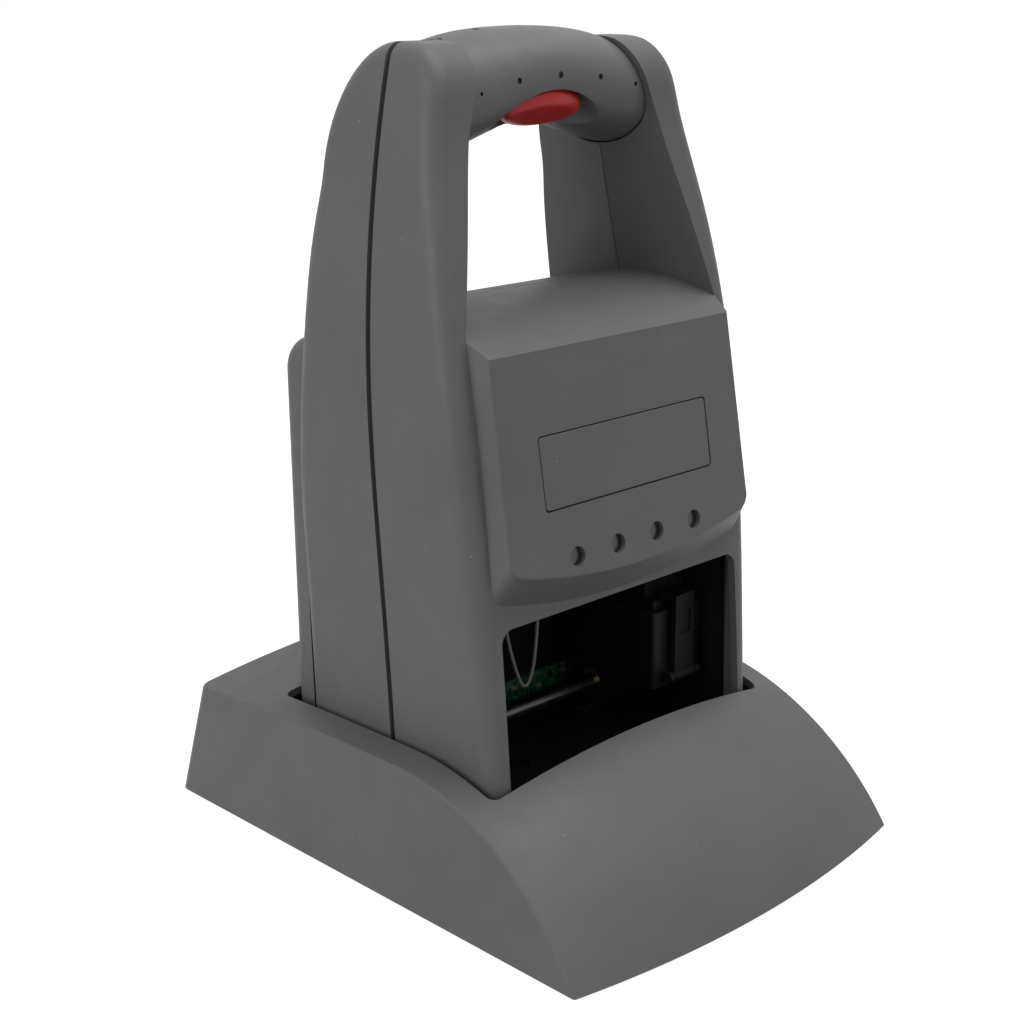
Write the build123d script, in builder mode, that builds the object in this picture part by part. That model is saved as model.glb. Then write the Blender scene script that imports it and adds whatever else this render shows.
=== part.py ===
"""Handheld inkjet printer standing in its docking base, in millimetres.

The base is a drafted, crowned wedge with a pocket. The printer stands in the pocket: two
moulded half shells with a hand hole, a gripped handle with a trigger, a control panel with
one wide key, and a print carriage that runs across the window. +Z is up, the front faces
-Y, and the origin is on the floor under the middle of the whole object.
"""
import os
from math import asin, cos, degrees, radians, sin, sqrt, tan

from build123d import *

os.makedirs("parts", exist_ok=True)

# Clearances and walls
FIT = 0.3            # between pieces that move past each other, and loose seats
SEAT = 0.4           # round a plate or board inside its housing
RUNNING = 0.05       # radial, shaft in bearing
WALL = 2.6           # moulded housings
DOCK_WALL = 2.5
REACH = 150.0        # long enough to pass through everything

# Docking base
DOCK_WIDTH_FRONT = 140.0
DOCK_WIDTH_BACK = 143.0
DOCK_DEPTH = 187.0
DOCK_SIDE_DRAFT = 0.070      # inwards per mm of height
DOCK_BACK_DRAFT = 0.272
DOCK_CREST = 48.0            # height of the top over the centre line
DOCK_NOSE_RADIUS = 93.2      # front of the top, seen from the side
DOCK_BACK_RADIUS = 1400.0    # rest of the top, seen from the side
DOCK_CROWN_RADIUS = 395.0    # top, seen from the front
DOCK_CORNER = 4.0
DOCK_EDGE = 0.9
FOOT_PROUD = 0.8             # rubber below the moulded edge
DOCK_NOSE_Z = DOCK_CREST - DOCK_NOSE_RADIUS
DOCK_NOSE_Y = -DOCK_DEPTH / 2 + sqrt(DOCK_NOSE_RADIUS**2 - (FOOT_PROUD - DOCK_NOSE_Z) ** 2)

# Pocket in the base, which the printer stands in
POCKET_WIDTH = 117.0
POCKET_FRONT = -43.6
POCKET_BACK = 51.2
POCKET_CORNER = 3.2
POCKET_WALL = 2.0
POCKET_FLOOR = 21.2          # top of its floor
POCKET_FLOOR_THICKNESS = 2.5

# Printer housing: front half-widths and side outline, both as (distance, height)
BODY_BASE = POCKET_FLOOR + FIT
HALF_WIDTH_BASE = 55.9
HALF_WIDTH_LOW = 57.4
LOW_Z = 85.0
HALF_WIDTH_WAIST = 58.95
WAIST_Z = 138.1
SIDE_RADIUS = 392.0
FRONT_LINE = (
    (-43.2, BODY_BASE), (-38.6, 84.5), (-27.6, 160.6), (-21.0, 190.8), (-16.6, 208.0),
    (-14.6, 219.0), (-12.6, 230.0), (-6.5, 237.0), (7.6, 239.2),
)
REAR_LINE = ((41.2, BODY_BASE), (41.2, 100.0), (36.3, 162.0), (33.4, 190.0), (31.6, 205.0))
DOME_Y = 7.6
DOME_TOP = 239.2
REAR_RISE_Z = 205.0          # where the rear line turns into the dome
BODY_EDGE = 5.5
SEAM_LEAN = 0.0286           # the joint between the half shells leans back with height
SEAM_GAP = 0.24
SEAM_GROOVE_WIDTH = 2.0
SEAM_GROOVE_DEPTH = 3.0
GASKET_RECESS = 1.0

# Hand hole and the arched shoulder under it
HOLE_HEAD_Z = 206.5
HOLE_HALF_HEAD = 35.2
HOLE_SPREAD = 0.206          # extra half-width per mm down
HOLE_FLARE = 0.21            # extra half-width per mm forward of the seam
HOLE_SEAM_Y = 6.0
ARCH_CREST_Y = -3.0
ARCH_CREST_Z = 168.9
ARCH_FRONT_RADIUS = 54.0
ARCH_REAR_RADIUS = 98.0

# Grip: ellipses at its middle, its quarter and its end groove
GRIP_Y = 7.3
GRIP_MIDDLE = dict(x=0.0, z=229.2, deep=18.8, high=13.3, lean=0.0)
GRIP_QUARTER = dict(x=17.3, z=227.3, deep=19.0, high=14.75, lean=6.6)
GRIP_END = dict(x=34.7, z=223.64, deep=19.2, high=16.6, lean=16.2)
GRIP_WALL = 3.0
GRIP_GROOVE = 0.35
GRIP_COLLAR = 0.6            # round the grip's ends, in the legs' collars
COLLAR_TOP_Z = 215.5
STUB_END = dict(x=42.5, z=220.2, deep=18.2, high=16.8, lean=8.0)
DIMPLE_RADIUS = 1.1
DIMPLE_FRONT_X = (-30.0, -15.6, 0.6, 16.6, 31.2)
DIMPLE_FRONT_Z = (225.5, 228.4, 229.4, 228.3, 225.7)

# Trigger under the front of the grip
TRIGGER_Y = -4.4
TRIGGER_Z = 218.8
TRIGGER_LEAN = 34.5          # its axis from straight down towards the front
TRIGGER_HALF_LONG = 15.4
TRIGGER_HALF_WIDE = 7.6
TRIGGER_TRAVEL = 3.0
TRIGGER_PROUD = 1.0
TRIGGER_CROWN = 3.6
TRIGGER_FLANGE = 2.6         # beyond each end of the trigger
FLANGE_THICKNESS = 1.5
RECESS_HALF_LONG = 20.0
RECESS_HALF_WIDE = 10.4
RECESS_DEPTH = 3.2
RECESS_FLOOR = 1.8
SPRING_WIRE = 0.35           # radius
SPRING_RADIUS = 2.4
SPRING_TURNS = 5
SPRING_X = -4.5
SWITCH_X = 10.0

# Raised control panel
PANEL_Y = -41.0
PANEL_Z = 115.7
PANEL_LEAN = 0.1645
PANEL_HALF_TOP = 49.0
PANEL_HALF_LOW = 50.2
PANEL_TOP = 54.0
PANEL_SIDE_LOW = -14.6
PANEL_MIDDLE_LOW = -21.2
PANEL_CORNER = 5.0
PANEL_DEPTH = 6.8
PANEL_FLARE = 2.2
PANEL_DROP = 7.6
PANEL_FACE = 3.0
KEY_WIDTH = 69.9
KEY_HEIGHT = 21.1
KEY_CORNER = 1.2
KEY_FLANGE = 1.5
LAMP_PITCH = 16.46
LAMP_V = -14.2
LAMP_RADIUS = 2.8
LAMP_RECESS = 1.6

# Window
WINDOW_HALF = 50.0
WINDOW_TOP = 84.5
WINDOW_CORNER = 4.3

# Base plate and print slot
PLATE_THICKNESS = 3.0
PLATE_TOP = BODY_BASE + PLATE_THICKNESS
SLOT_FRONT = 3.2
SLOT_BACK = 15.0
SLOT_HALF = 50.4
PLATE_HOLES = ((-16.0, -10.3), (31.6, -13.3))
PLATE_HOLE_RADIUS = 3.6
POST_RADIUS = 3.2

# Chassis
CHASSIS_HALF = 52.9
CHASSIS_SHEET = 2.0
CHASSIS_FRONT = -34.0
CHASSIS_BACK = 22.0
CHASSIS_TOP = 90.0
ROD_Y = 1.5
ROD_Z = 35.8
ROD_RADIUS = 3.0
RAIL_Z = 78.0
RAIL_HEIGHT = 4.0
RAIL_DEPTH = 2.0
PULLEY_X = 45.6
PULLEY_Z = 68.0
PULLEY_RADIUS = 4.0
BELT_FRONT = 16.0
BELT_WIDTH = 3.0
BELT_THICKNESS = 0.9
CLAMP_WIDTH = 3.6
CLAMP_WALL = 1.2
MOTOR_RADIUS = 7.0
MOTOR_LENGTH = 13.0
MOTOR_SHAFT = 1.0

# Carriage, parked at the right-hand end
CARRIAGE_X = 39.25
CARRIAGE_WIDTH = 22.0
CARRIAGE_FRONT = -25.5
CARRIAGE_BACK = 15.4
CARRIAGE_WALL = 2.0
CARRIAGE_FLOOR_Z = 40.5
CARRIAGE_TOP = 66.0
BUSHING_WALL = 1.2
CARTRIDGE_TOP = 81.0
SNOUT_FRONT = 7.6
SNOUT_BACK = 13.0
NOZZLE_Z = 23.3

# Battery pack on the back
BATTERY_HALF = 54.5
BATTERY_BACK = 50.2
BATTERY_BASE = 24.0
BATTERY_TOP = 156.0
BATTERY_SHOULDER = 11.0
BATTERY_CORNER = 4.5
BATTERY_RAIL_X = 38.0
BATTERY_RAIL_WIDTH = 5.0
BATTERY_RAIL_DEPTH = 1.4
BATTERY_RAIL_Z = (60.0, 100.0)
BATTERY_TRAVEL = 30.0

# Boards, screws and feet
BOARD = 1.6
SCREW_RADIUS = 1.5
SCREW_HEAD_RADIUS = 2.8
SCREW_HEAD = 1.8
BOSS_RADIUS = 3.6
FOOT_RADIUS = 6.5
FOOT_RECESS = 1.2
COVER_THICKNESS = 2.6

X_AXIS = (1, 0, 0)


def save(piece, name):
    """Labels a finished piece and writes it under its own name."""
    piece.part.label = name
    export_step(piece.part, f"parts/{name}.step")


def crown_cutter(inset):
    """All that lies outside the base's crowned top, moved inwards by inset."""
    sag = DOCK_CROWN_RADIUS - sqrt(DOCK_CROWN_RADIUS**2 - REACH**2 / 4)
    nose_radius = DOCK_NOSE_RADIUS - inset
    with BuildPart() as cutter:
        with BuildLine(Plane.YZ) as route:
            nose = CenterArc((DOCK_NOSE_Y, DOCK_NOSE_Z), nose_radius, 90, 75)
            run = DOCK_DEPTH * 0.62
            drop = run**2 / (2 * DOCK_BACK_RADIUS)
            TangentArc(nose @ 0, nose @ 0 + Vector(0, run, -drop), tangent=Vector(0, 1, 0))
        start = route.wire() @ 0
        along = route.wire() % 0
        outwards = Plane(origin=start, x_dir=(-1, 0, 0) if along.Y > 0 else (1, 0, 0), z_dir=along)
        with BuildSketch(outwards):
            with BuildLine():
                rim = ThreePointArc((-REACH / 2, -sag), (0, 0), (REACH / 2, -sag))
                Polyline(rim @ 1, (REACH / 2, REACH / 2), (-REACH / 2, REACH / 2), rim @ 0)
            make_face()
        sweep()
    return cutter.part


def base_quad(z, inset):
    """Corners of the base's drafted plan at a height."""
    lean = DOCK_SIDE_DRAFT * z + inset
    front = DOCK_WIDTH_FRONT / 2 - lean
    back = DOCK_WIDTH_BACK / 2 - lean
    rear = DOCK_DEPTH / 2 - DOCK_BACK_DRAFT * (z - FOOT_PROUD) - inset
    nose = -DOCK_DEPTH / 2 - 20
    return [(-front, nose), (front, nose), (back, rear), (-back, rear)]


def base_form(inset, foot_z):
    """The base's outer form, moved inwards by inset and cut off at foot_z."""
    head_z = DOCK_CREST + 10
    with BuildPart() as form:
        for z in (foot_z, head_z):
            with BuildSketch(Plane.XY.offset(z)):
                with BuildLine():
                    Polyline(*base_quad(z, inset), close=True)
                make_face()
        loft(ruled=True)
        short_edges = form.edges().filter_by(lambda e: e.length < 1.2 * (head_z - foot_z))
        rear_corners = short_edges.group_by(Axis.Y)[-1]
        fillet([e for e in rear_corners if abs(e.tangent_at(0.5).X) < 0.5], DOCK_CORNER - inset)
        add(crown_cutter(inset), mode=Mode.SUBTRACT)
    return form.part


def body_form(inset, foot_z):
    """The printer's outer form without panel, hole and grip, moved inwards by inset."""
    dome_rear = REAR_LINE[-1][0] - DOME_Y - inset
    with BuildPart() as form:
        with BuildSketch(Plane.YZ):
            with BuildLine():
                front = Spline(
                    *[(y + inset, z) for y, z in FRONT_LINE[:-2]],
                    (FRONT_LINE[-2][0] + 0.7 * inset, FRONT_LINE[-2][1] - 0.7 * inset),
                    (FRONT_LINE[-1][0], FRONT_LINE[-1][1] - inset),
                    tangents=((FRONT_LINE[1][0] - FRONT_LINE[0][0], FRONT_LINE[1][1] - BODY_BASE), (1, 0)),
                )
                rear_foot = Line(*[(y - inset, z) for y, z in REAR_LINE[:2]])
                Spline(*[(y - inset, z) for y, z in REAR_LINE[1:]], tangents=((0, 1), (0, 1)))
                dome_rise = DOME_TOP - inset - REAR_RISE_Z
                EllipticalCenterArc((DOME_Y, REAR_RISE_Z), dome_rear, dome_rise, 0, arc_size=90)
                foot_front = (FRONT_LINE[0][0] + inset, foot_z)
                foot_rear = (REAR_LINE[0][0] - inset, foot_z)
                if foot_z < BODY_BASE:
                    Line(front @ 0, foot_front)
                    Line(rear_foot @ 0, foot_rear)
                Line(foot_front, foot_rear)
            make_face()
        extrude(amount=REACH, both=True)
        with BuildSketch(Plane.XZ):
            with BuildLine():
                low = Spline(
                    (HALF_WIDTH_BASE - inset, BODY_BASE),
                    (HALF_WIDTH_LOW - inset, LOW_Z),
                    (HALF_WIDTH_WAIST - inset, WAIST_Z),
                    tangents=((0.01, 1), (0, 1)),
                )
                arc_top = degrees(asin((DOME_TOP + 20 - WAIST_Z) / SIDE_RADIUS))
                high = CenterArc((HALF_WIDTH_WAIST - SIDE_RADIUS, WAIST_Z), SIDE_RADIUS - inset, 0, arc_top)
                Line(high @ 1, (0, DOME_TOP + 20))
                if foot_z < BODY_BASE:
                    Line(low @ 0, (HALF_WIDTH_BASE - inset, foot_z))
                Line((HALF_WIDTH_BASE - inset, foot_z), (0, foot_z))
                mirror(about=Plane.YZ)
            make_face()
        extrude(amount=REACH, both=True, mode=Mode.INTERSECT)
        outer = [e for e in form.edges().filter_by(Axis.X, reverse=True) if e.center().Z > foot_z + 1]
        fillet(outer, max(BODY_EDGE - inset, 1.2))
    return form.part


def above_arch(drop):
    """Everything above the shoulder between the legs, started lower by drop."""
    with BuildPart() as region:
        with BuildSketch(Plane.YZ):
            with BuildLine():
                front_radius = ARCH_FRONT_RADIUS - drop
                rear_radius = ARCH_REAR_RADIUS - drop
                front = CenterArc((ARCH_CREST_Y, ARCH_CREST_Z - ARCH_FRONT_RADIUS), front_radius, 90, 58)
                rear = CenterArc((ARCH_CREST_Y, ARCH_CREST_Z - ARCH_REAR_RADIUS), rear_radius, 90, -40)
                Polyline(front @ 1, (-REACH, (front @ 1).Z), (-REACH, 2 * REACH), (REACH, 2 * REACH))
                Polyline((REACH, 2 * REACH), (REACH, (rear @ 1).Z), rear @ 1)
            make_face()
        extrude(amount=REACH, both=True)
    return region.part


def hole_form(extra):
    """The hand hole, opened upwards past the grip's ends, wider all round by extra."""
    lean = tan(radians(GRIP_END["lean"]))
    end_x = GRIP_END["x"] + GRIP_GROOVE / 2 + extra / cos(radians(GRIP_END["lean"]))
    foot_z = ARCH_CREST_Z - 40
    top_z = DOME_TOP + 30

    def face_x(z):
        """Half-width of the hole at a height, where the legs' inner faces are straight."""
        return HOLE_HALF_HEAD + extra + HOLE_SPREAD * (HOLE_HEAD_Z - z)

    def end_plane_x(z):
        """Half-width at the grip's end grooves."""
        return end_x + lean * (GRIP_END["z"] - z)

    def outline(flare):
        """One section of the hole; a widened one steps out below the grip's collars."""
        face_top = HOLE_HEAD_Z - extra if extra else COLLAR_TOP_Z
        end_foot = face_top + 0.5 if extra else GRIP_END["z"]
        right = [
            (face_x(foot_z) + flare, foot_z),
            (face_x(face_top) + flare, face_top),
            (end_plane_x(end_foot), end_foot),
            (end_plane_x(top_z), top_z),
        ]
        return right + [(-x, z) for x, z in reversed(right)]

    run = REACH
    with BuildPart() as region:
        for y, flare in ((HOLE_SEAM_Y, 0), (HOLE_SEAM_Y - run, HOLE_FLARE * run)):
            with BuildSketch(Plane.XZ.offset(-y)):
                with BuildLine():
                    Polyline(*outline(flare), close=True)
                make_face()
        loft(ruled=True)
        with BuildSketch(Plane.XZ.offset(-HOLE_SEAM_Y)):
            with BuildLine():
                Polyline(*outline(0), close=True)
            make_face()
        extrude(amount=-REACH)
        add(above_arch(extra), mode=Mode.INTERSECT)
    return region.part


def grip_plane(station, side):
    """The tilted plane of one of the grip's sections; side is -1 for the left end."""
    lean = radians(station["lean"])
    return Plane(
        origin=(side * station["x"], GRIP_Y, station["z"]),
        x_dir=(0, 1, 0),
        z_dir=(cos(lean), 0, side * sin(lean)),
    )


def grip_form(inset, end_inset):
    """The bowed handle bar between its two end grooves."""
    end = dict(GRIP_END, x=GRIP_END["x"] - end_inset)
    stations = [(end, -1), (GRIP_QUARTER, -1), (GRIP_MIDDLE, 1), (GRIP_QUARTER, 1), (end, 1)]
    with BuildPart() as bar:
        for station, side in stations:
            with BuildSketch(grip_plane(station, side)):
                Ellipse(station["deep"] - inset, station["high"] - inset)
        loft()
    return bar.part


def stub_form(side):
    """The short round shoulder between a leg's top and the grip."""
    start = dict(GRIP_END, x=GRIP_END["x"] + GRIP_GROOVE / 2)
    with BuildPart() as stub:
        for station in (start, STUB_END):
            with BuildSketch(grip_plane(station, side)):
                Ellipse(station["deep"], station["high"])
        loft(ruled=True)
    return stub.part


def seam_slab(low, high):
    """A slab along the joint of the half shells, from low to high behind it."""
    tilt = Plane(origin=(0, 0, 0), x_dir=X_AXIS, z_dir=(0, -1, SEAM_LEAN))
    with BuildPart() as slab:
        with BuildSketch(tilt.offset(-high)):
            Rectangle(4 * REACH, 6 * REACH)
        extrude(amount=high - low)
    return slab.part


def trigger_plane(depth, x=0.0):
    """A plane square to the trigger's travel, depth below the grip's surface."""
    lean = radians(TRIGGER_LEAN)
    outwards = Vector(0, -sin(lean), -cos(lean))
    origin = Vector(x, TRIGGER_Y, TRIGGER_Z) - outwards * depth
    return Plane(origin=origin, x_dir=X_AXIS, z_dir=outwards)


def panel_plane(depth):
    """A plane along the control panel, depth behind its face; local y runs up it."""
    scale = sqrt(1 + PANEL_LEAN**2)
    outwards = Vector(0, -1 / scale, PANEL_LEAN / scale)
    origin = Vector(0, PANEL_Y, PANEL_Z) - outwards * depth
    return Plane(origin=origin, x_dir=X_AXIS, z_dir=outwards)


def panel_outline(depth, wider, lower, inset=0.0):
    """Draws the panel's outline at a depth, as a sketch."""
    with BuildSketch(panel_plane(depth)) as outline:
        with BuildLine():
            top_half = PANEL_HALF_TOP + wider - inset
            low_half = PANEL_HALF_LOW + wider - inset
            side_low = PANEL_SIDE_LOW - lower + inset
            middle_low = PANEL_MIDDLE_LOW - lower + inset
            top = PANEL_TOP - inset
            Polyline((-low_half, side_low), (-top_half, top), (top_half, top), (low_half, side_low))
            ThreePointArc((low_half, side_low), (0, middle_low), (-low_half, side_low))
        make_face()
        fillet(outline.vertices(), max(PANEL_CORNER - inset, 2))
    return outline.sketch


def screw_form(length, head_radius=SCREW_HEAD_RADIUS, head=SCREW_HEAD, shaft=SCREW_RADIUS):
    """A cap screw with its head on top of the origin and its shaft pointing down."""
    with BuildPart() as screw:
        with BuildSketch():
            Circle(head_radius)
        extrude(amount=head)
        with BuildSketch(Plane.XY.offset(head)):
            RegularPolygon(head_radius * 0.5, 6)
        extrude(amount=-head * 0.6, mode=Mode.SUBTRACT)
        with BuildSketch():
            Circle(shaft)
        extrude(amount=-length)
    return screw.part


# Docking base
FOOT_FRONT_INSET = 25.5      # from the base's front and back ends
FOOT_BACK_INSET = 11.5
FOOT_SIDE_FRONT = 15.0
FOOT_SIDE_BACK = 13.5
DOCK_FEET = [
    (side * half, y)
    for half, y in (
        (DOCK_WIDTH_FRONT / 2 - FOOT_SIDE_FRONT, FOOT_FRONT_INSET - DOCK_DEPTH / 2),
        (DOCK_WIDTH_BACK / 2 - FOOT_SIDE_BACK, DOCK_DEPTH / 2 - FOOT_BACK_INSET),
    )
    for side in (-1, 1)
]
BOSS_FRONT_INSET = 35.5
BOSS_BACK_INSET = 23.5
BOSS_SIDE = 50.0
DOCK_BOSSES = [
    (side * BOSS_SIDE, y)
    for y in (BOSS_FRONT_INSET - DOCK_DEPTH / 2, DOCK_DEPTH / 2 - BOSS_BACK_INSET)
    for side in (-1, 1)
]
COVER_TOP = FOOT_PROUD + COVER_THICKNESS
POCKET_MIDDLE_Y = (POCKET_FRONT + POCKET_BACK) / 2
POCKET_DEPTH = POCKET_BACK - POCKET_FRONT
BLOCK_Y = 30.0
BLOCK_HALF = 12.0
BLOCK_DEPTH = 8.0
PIN_PITCH = 4.5
PIN_X = [PIN_PITCH * i for i in (-2, -1, 0, 1, 2)]
SOCKET_X = 24.0
SOCKET_Z = 15.5
SOCKET_BORE = 2.75
SOCKET_INSET = 9.0           # from the back's lower edge
SOCKET_LENGTH = 22.5
SOCKET_BACK = DOCK_DEPTH / 2 - SOCKET_INSET
SOCKET_FRONT = SOCKET_BACK - SOCKET_LENGTH
SOCKET_HALF = 5.5
SOCKET_OVERHANG = 8.5        # past the board's back edge
DOCK_BOARD_Z = 8.0
DOCK_BOARD_X = 8.0
DOCK_BOARD_WIDTH = 64.0
DOCK_BOARD_BORDER = 8.0      # in front of the contact block
DOCK_BOARD_FRONT = BLOCK_Y - BLOCK_DEPTH / 2 - DOCK_BOARD_BORDER
DOCK_BOARD_BACK = SOCKET_BACK - SOCKET_OVERHANG
DOCK_BOARD_Y = (DOCK_BOARD_FRONT + DOCK_BOARD_BACK) / 2
DOCK_BOARD_SIZE = (DOCK_BOARD_WIDTH, DOCK_BOARD_BACK - DOCK_BOARD_FRONT)
PEG_INSET_X = 5.0
PEG_INSET_Y = 6.0
DOCK_PEGS = [
    (DOCK_BOARD_X + side * (DOCK_BOARD_WIDTH / 2 - PEG_INSET_X), y)
    for y in (DOCK_BOARD_FRONT + PEG_INSET_Y, DOCK_BOARD_BACK - PEG_INSET_Y)
    for side in (-1, 1)
]

with BuildPart() as dock_boss_form:
    with BuildSketch(Plane.XY.offset(COVER_TOP)):
        with Locations(*DOCK_BOSSES):
            Circle(BOSS_RADIUS)
    extrude(amount=REACH)
    add(base_form(DOCK_WALL / 2, FOOT_PROUD), mode=Mode.INTERSECT)

with BuildPart() as dock_shell:
    add(base_form(0, FOOT_PROUD))
    crease = [e for e in dock_shell.edges() if e.center().Z > 30 and abs(e.center().X) > 60]
    fillet(crease, DOCK_EDGE)
    add(base_form(DOCK_WALL, FOOT_PROUD - 1), mode=Mode.SUBTRACT)
    add(dock_boss_form.part)
    with BuildSketch(Plane.XY.offset(COVER_TOP)):
        with Locations(*DOCK_BOSSES):
            Circle(SCREW_RADIUS + RUNNING)
    extrude(amount=14, mode=Mode.SUBTRACT)
    with BuildSketch(Plane.XY.offset(POCKET_FLOOR)):
        with Locations((0, POCKET_MIDDLE_Y)):
            RectangleRounded(POCKET_WIDTH, POCKET_DEPTH, POCKET_CORNER)
    extrude(amount=REACH, mode=Mode.SUBTRACT)
    with BuildSketch(Plane.XZ.offset(-SOCKET_BACK)):
        with Locations((SOCKET_X, SOCKET_Z)):
            Circle(SOCKET_HALF - 1)
    extrude(amount=-20, mode=Mode.SUBTRACT)
save(dock_shell, "dock_shell")

with BuildPart() as dock_pocket:
    with BuildSketch(Plane.XY.offset(POCKET_FLOOR - POCKET_FLOOR_THICKNESS)):
        with Locations((0, POCKET_MIDDLE_Y)):
            tub = (POCKET_WIDTH + 2 * POCKET_WALL, POCKET_DEPTH + 2 * POCKET_WALL)
            RectangleRounded(*tub, POCKET_CORNER + POCKET_WALL)
    extrude(amount=DOCK_CREST - POCKET_FLOOR + 2 * POCKET_WALL)
    with BuildSketch(Plane.XY.offset(POCKET_FLOOR)):
        with Locations((0, POCKET_MIDDLE_Y)):
            RectangleRounded(POCKET_WIDTH, POCKET_DEPTH, POCKET_CORNER)
    extrude(amount=REACH, mode=Mode.SUBTRACT)
    add(crown_cutter(DOCK_WALL + RUNNING), mode=Mode.SUBTRACT)
    with BuildSketch(Plane.XY.offset(POCKET_FLOOR - POCKET_FLOOR_THICKNESS)):
        with Locations((0, BLOCK_Y)):
            Rectangle(2 * (BLOCK_HALF + FIT), BLOCK_DEPTH + 2 * FIT)
    extrude(amount=REACH, mode=Mode.SUBTRACT)
    with BuildSketch(Plane.XY.offset(POCKET_FLOOR)):
        with Locations(*PLATE_HOLES):
            Circle(POST_RADIUS)
    extrude(amount=2.2)
    chamfer(dock_pocket.faces().sort_by(Axis.Z).filter_by(Plane.XY)[-2:].edges(), 0.4)
save(dock_pocket, "dock_pocket")

with BuildPart() as dock_bottom_cover:
    add(base_form(DOCK_WALL + SEAT / 2, FOOT_PROUD))
    with BuildSketch(Plane.XY.offset(COVER_TOP)):
        Rectangle(2 * REACH, 2 * REACH)
    extrude(amount=REACH, mode=Mode.SUBTRACT)
    with BuildSketch(Plane.XY.offset(COVER_TOP)):
        with Locations(*DOCK_PEGS):
            Circle(BOSS_RADIUS)
    extrude(amount=DOCK_BOARD_Z - COVER_TOP)
    with BuildSketch(Plane.XY.offset(DOCK_BOARD_Z)):
        with Locations(*DOCK_PEGS):
            Circle(1.2)
    extrude(amount=BOARD + 0.8)
    with BuildSketch(Plane.XY):
        with Locations(*DOCK_FEET):
            Circle(FOOT_RADIUS + RUNNING)
    extrude(amount=FOOT_PROUD + FOOT_RECESS, mode=Mode.SUBTRACT)
    with BuildSketch(Plane.XY.offset(FOOT_PROUD)):
        with Locations(*DOCK_BOSSES):
            Circle(SCREW_RADIUS + SEAT / 2)
    extrude(amount=COVER_THICKNESS, mode=Mode.SUBTRACT)
    with BuildSketch(Plane.XY.offset(FOOT_PROUD)):
        with Locations(*DOCK_BOSSES):
            Circle(SCREW_HEAD_RADIUS + SEAT / 2)
    extrude(amount=SCREW_HEAD, mode=Mode.SUBTRACT)
save(dock_bottom_cover, "dock_bottom_cover")

with BuildPart() as dock_feet:
    with BuildSketch():
        with Locations(*DOCK_FEET):
            Circle(FOOT_RADIUS)
    extrude(amount=FOOT_PROUD + FOOT_RECESS)
    chamfer(dock_feet.edges().group_by(Axis.Z)[0], 0.4)
save(dock_feet, "dock_feet")

with BuildPart() as dock_screws:
    with Locations(*[Location((x, y, FOOT_PROUD + SCREW_HEAD), (180, 0, 0)) for x, y in DOCK_BOSSES]):
        add(screw_form(12))
save(dock_screws, "dock_screws")

with BuildPart() as dock_board:
    with BuildSketch(Plane.XY.offset(DOCK_BOARD_Z)):
        with Locations((DOCK_BOARD_X, DOCK_BOARD_Y)):
            RectangleRounded(*DOCK_BOARD_SIZE, 2)
        with Locations(*DOCK_PEGS):
            Circle(1.2 + RUNNING, mode=Mode.SUBTRACT)
    extrude(amount=BOARD)
save(dock_board, "dock_board")

with BuildPart() as dock_contact_block:
    with BuildSketch(Plane.XY.offset(DOCK_BOARD_Z + BOARD)):
        with Locations((0, BLOCK_Y)):
            Rectangle(2 * BLOCK_HALF, BLOCK_DEPTH)
    extrude(amount=POCKET_FLOOR - DOCK_BOARD_Z - BOARD - 0.5)
    with BuildSketch(Plane.XY.offset(POCKET_FLOOR - 6)):
        with Locations(*[(x, BLOCK_Y) for x in PIN_X]):
            Circle(0.9 + RUNNING)
    extrude(amount=REACH, mode=Mode.SUBTRACT)
save(dock_contact_block, "dock_contact_block")

with BuildPart() as dock_contact_pins:
    with BuildSketch(Plane.XY.offset(POCKET_FLOOR - 6)):
        with Locations(*[(x, BLOCK_Y) for x in PIN_X]):
            Circle(0.9)
    extrude(amount=6)
    fillet(dock_contact_pins.edges().group_by(Axis.Z)[-1], 0.5)
save(dock_contact_pins, "dock_contact_pins")

with BuildPart() as dock_power_socket:
    with BuildSketch(Plane.XY.offset(DOCK_BOARD_Z + BOARD)):
        with Locations((SOCKET_X, (SOCKET_FRONT + SOCKET_BACK) / 2)):
            Rectangle(2 * (SOCKET_HALF - 1.5), SOCKET_BACK - SOCKET_FRONT)
    extrude(amount=SOCKET_Z - DOCK_BOARD_Z - BOARD)
    with BuildSketch(Plane.XZ.offset(-SOCKET_FRONT)):
        with Locations((SOCKET_X, SOCKET_Z)):
            Circle(SOCKET_HALF - 1.5)
    extrude(amount=-(SOCKET_BACK - SOCKET_FRONT))
    with BuildSketch(Plane.XZ.offset(-SOCKET_BACK)):
        with Locations((SOCKET_X, SOCKET_Z)):
            Circle(SOCKET_BORE)
    extrude(amount=12, mode=Mode.SUBTRACT)
    with BuildSketch(Plane.XZ.offset(-(SOCKET_BACK - 12))):
        with Locations((SOCKET_X, SOCKET_Z)):
            Circle(0.9)
    extrude(amount=-9)
save(dock_power_socket, "dock_power_socket")

with BuildPart() as nozzle_cap:
    with BuildSketch(Plane.XY.offset(POCKET_FLOOR)):
        with Locations((CARRIAGE_X, (SNOUT_FRONT + SNOUT_BACK) / 2)):
            RectangleRounded(15, SNOUT_BACK - SNOUT_FRONT + 2.4, 1.5)
    extrude(amount=NOZZLE_Z - 0.4 - POCKET_FLOOR)
    with BuildSketch(Plane.XY.offset(POCKET_FLOOR + 0.6)):
        with Locations((CARRIAGE_X, (SNOUT_FRONT + SNOUT_BACK) / 2)):
            RectangleRounded(12.6, SNOUT_BACK - SNOUT_FRONT, 1)
    extrude(amount=REACH, mode=Mode.SUBTRACT)
save(nozzle_cap, "nozzle_cap")

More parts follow.
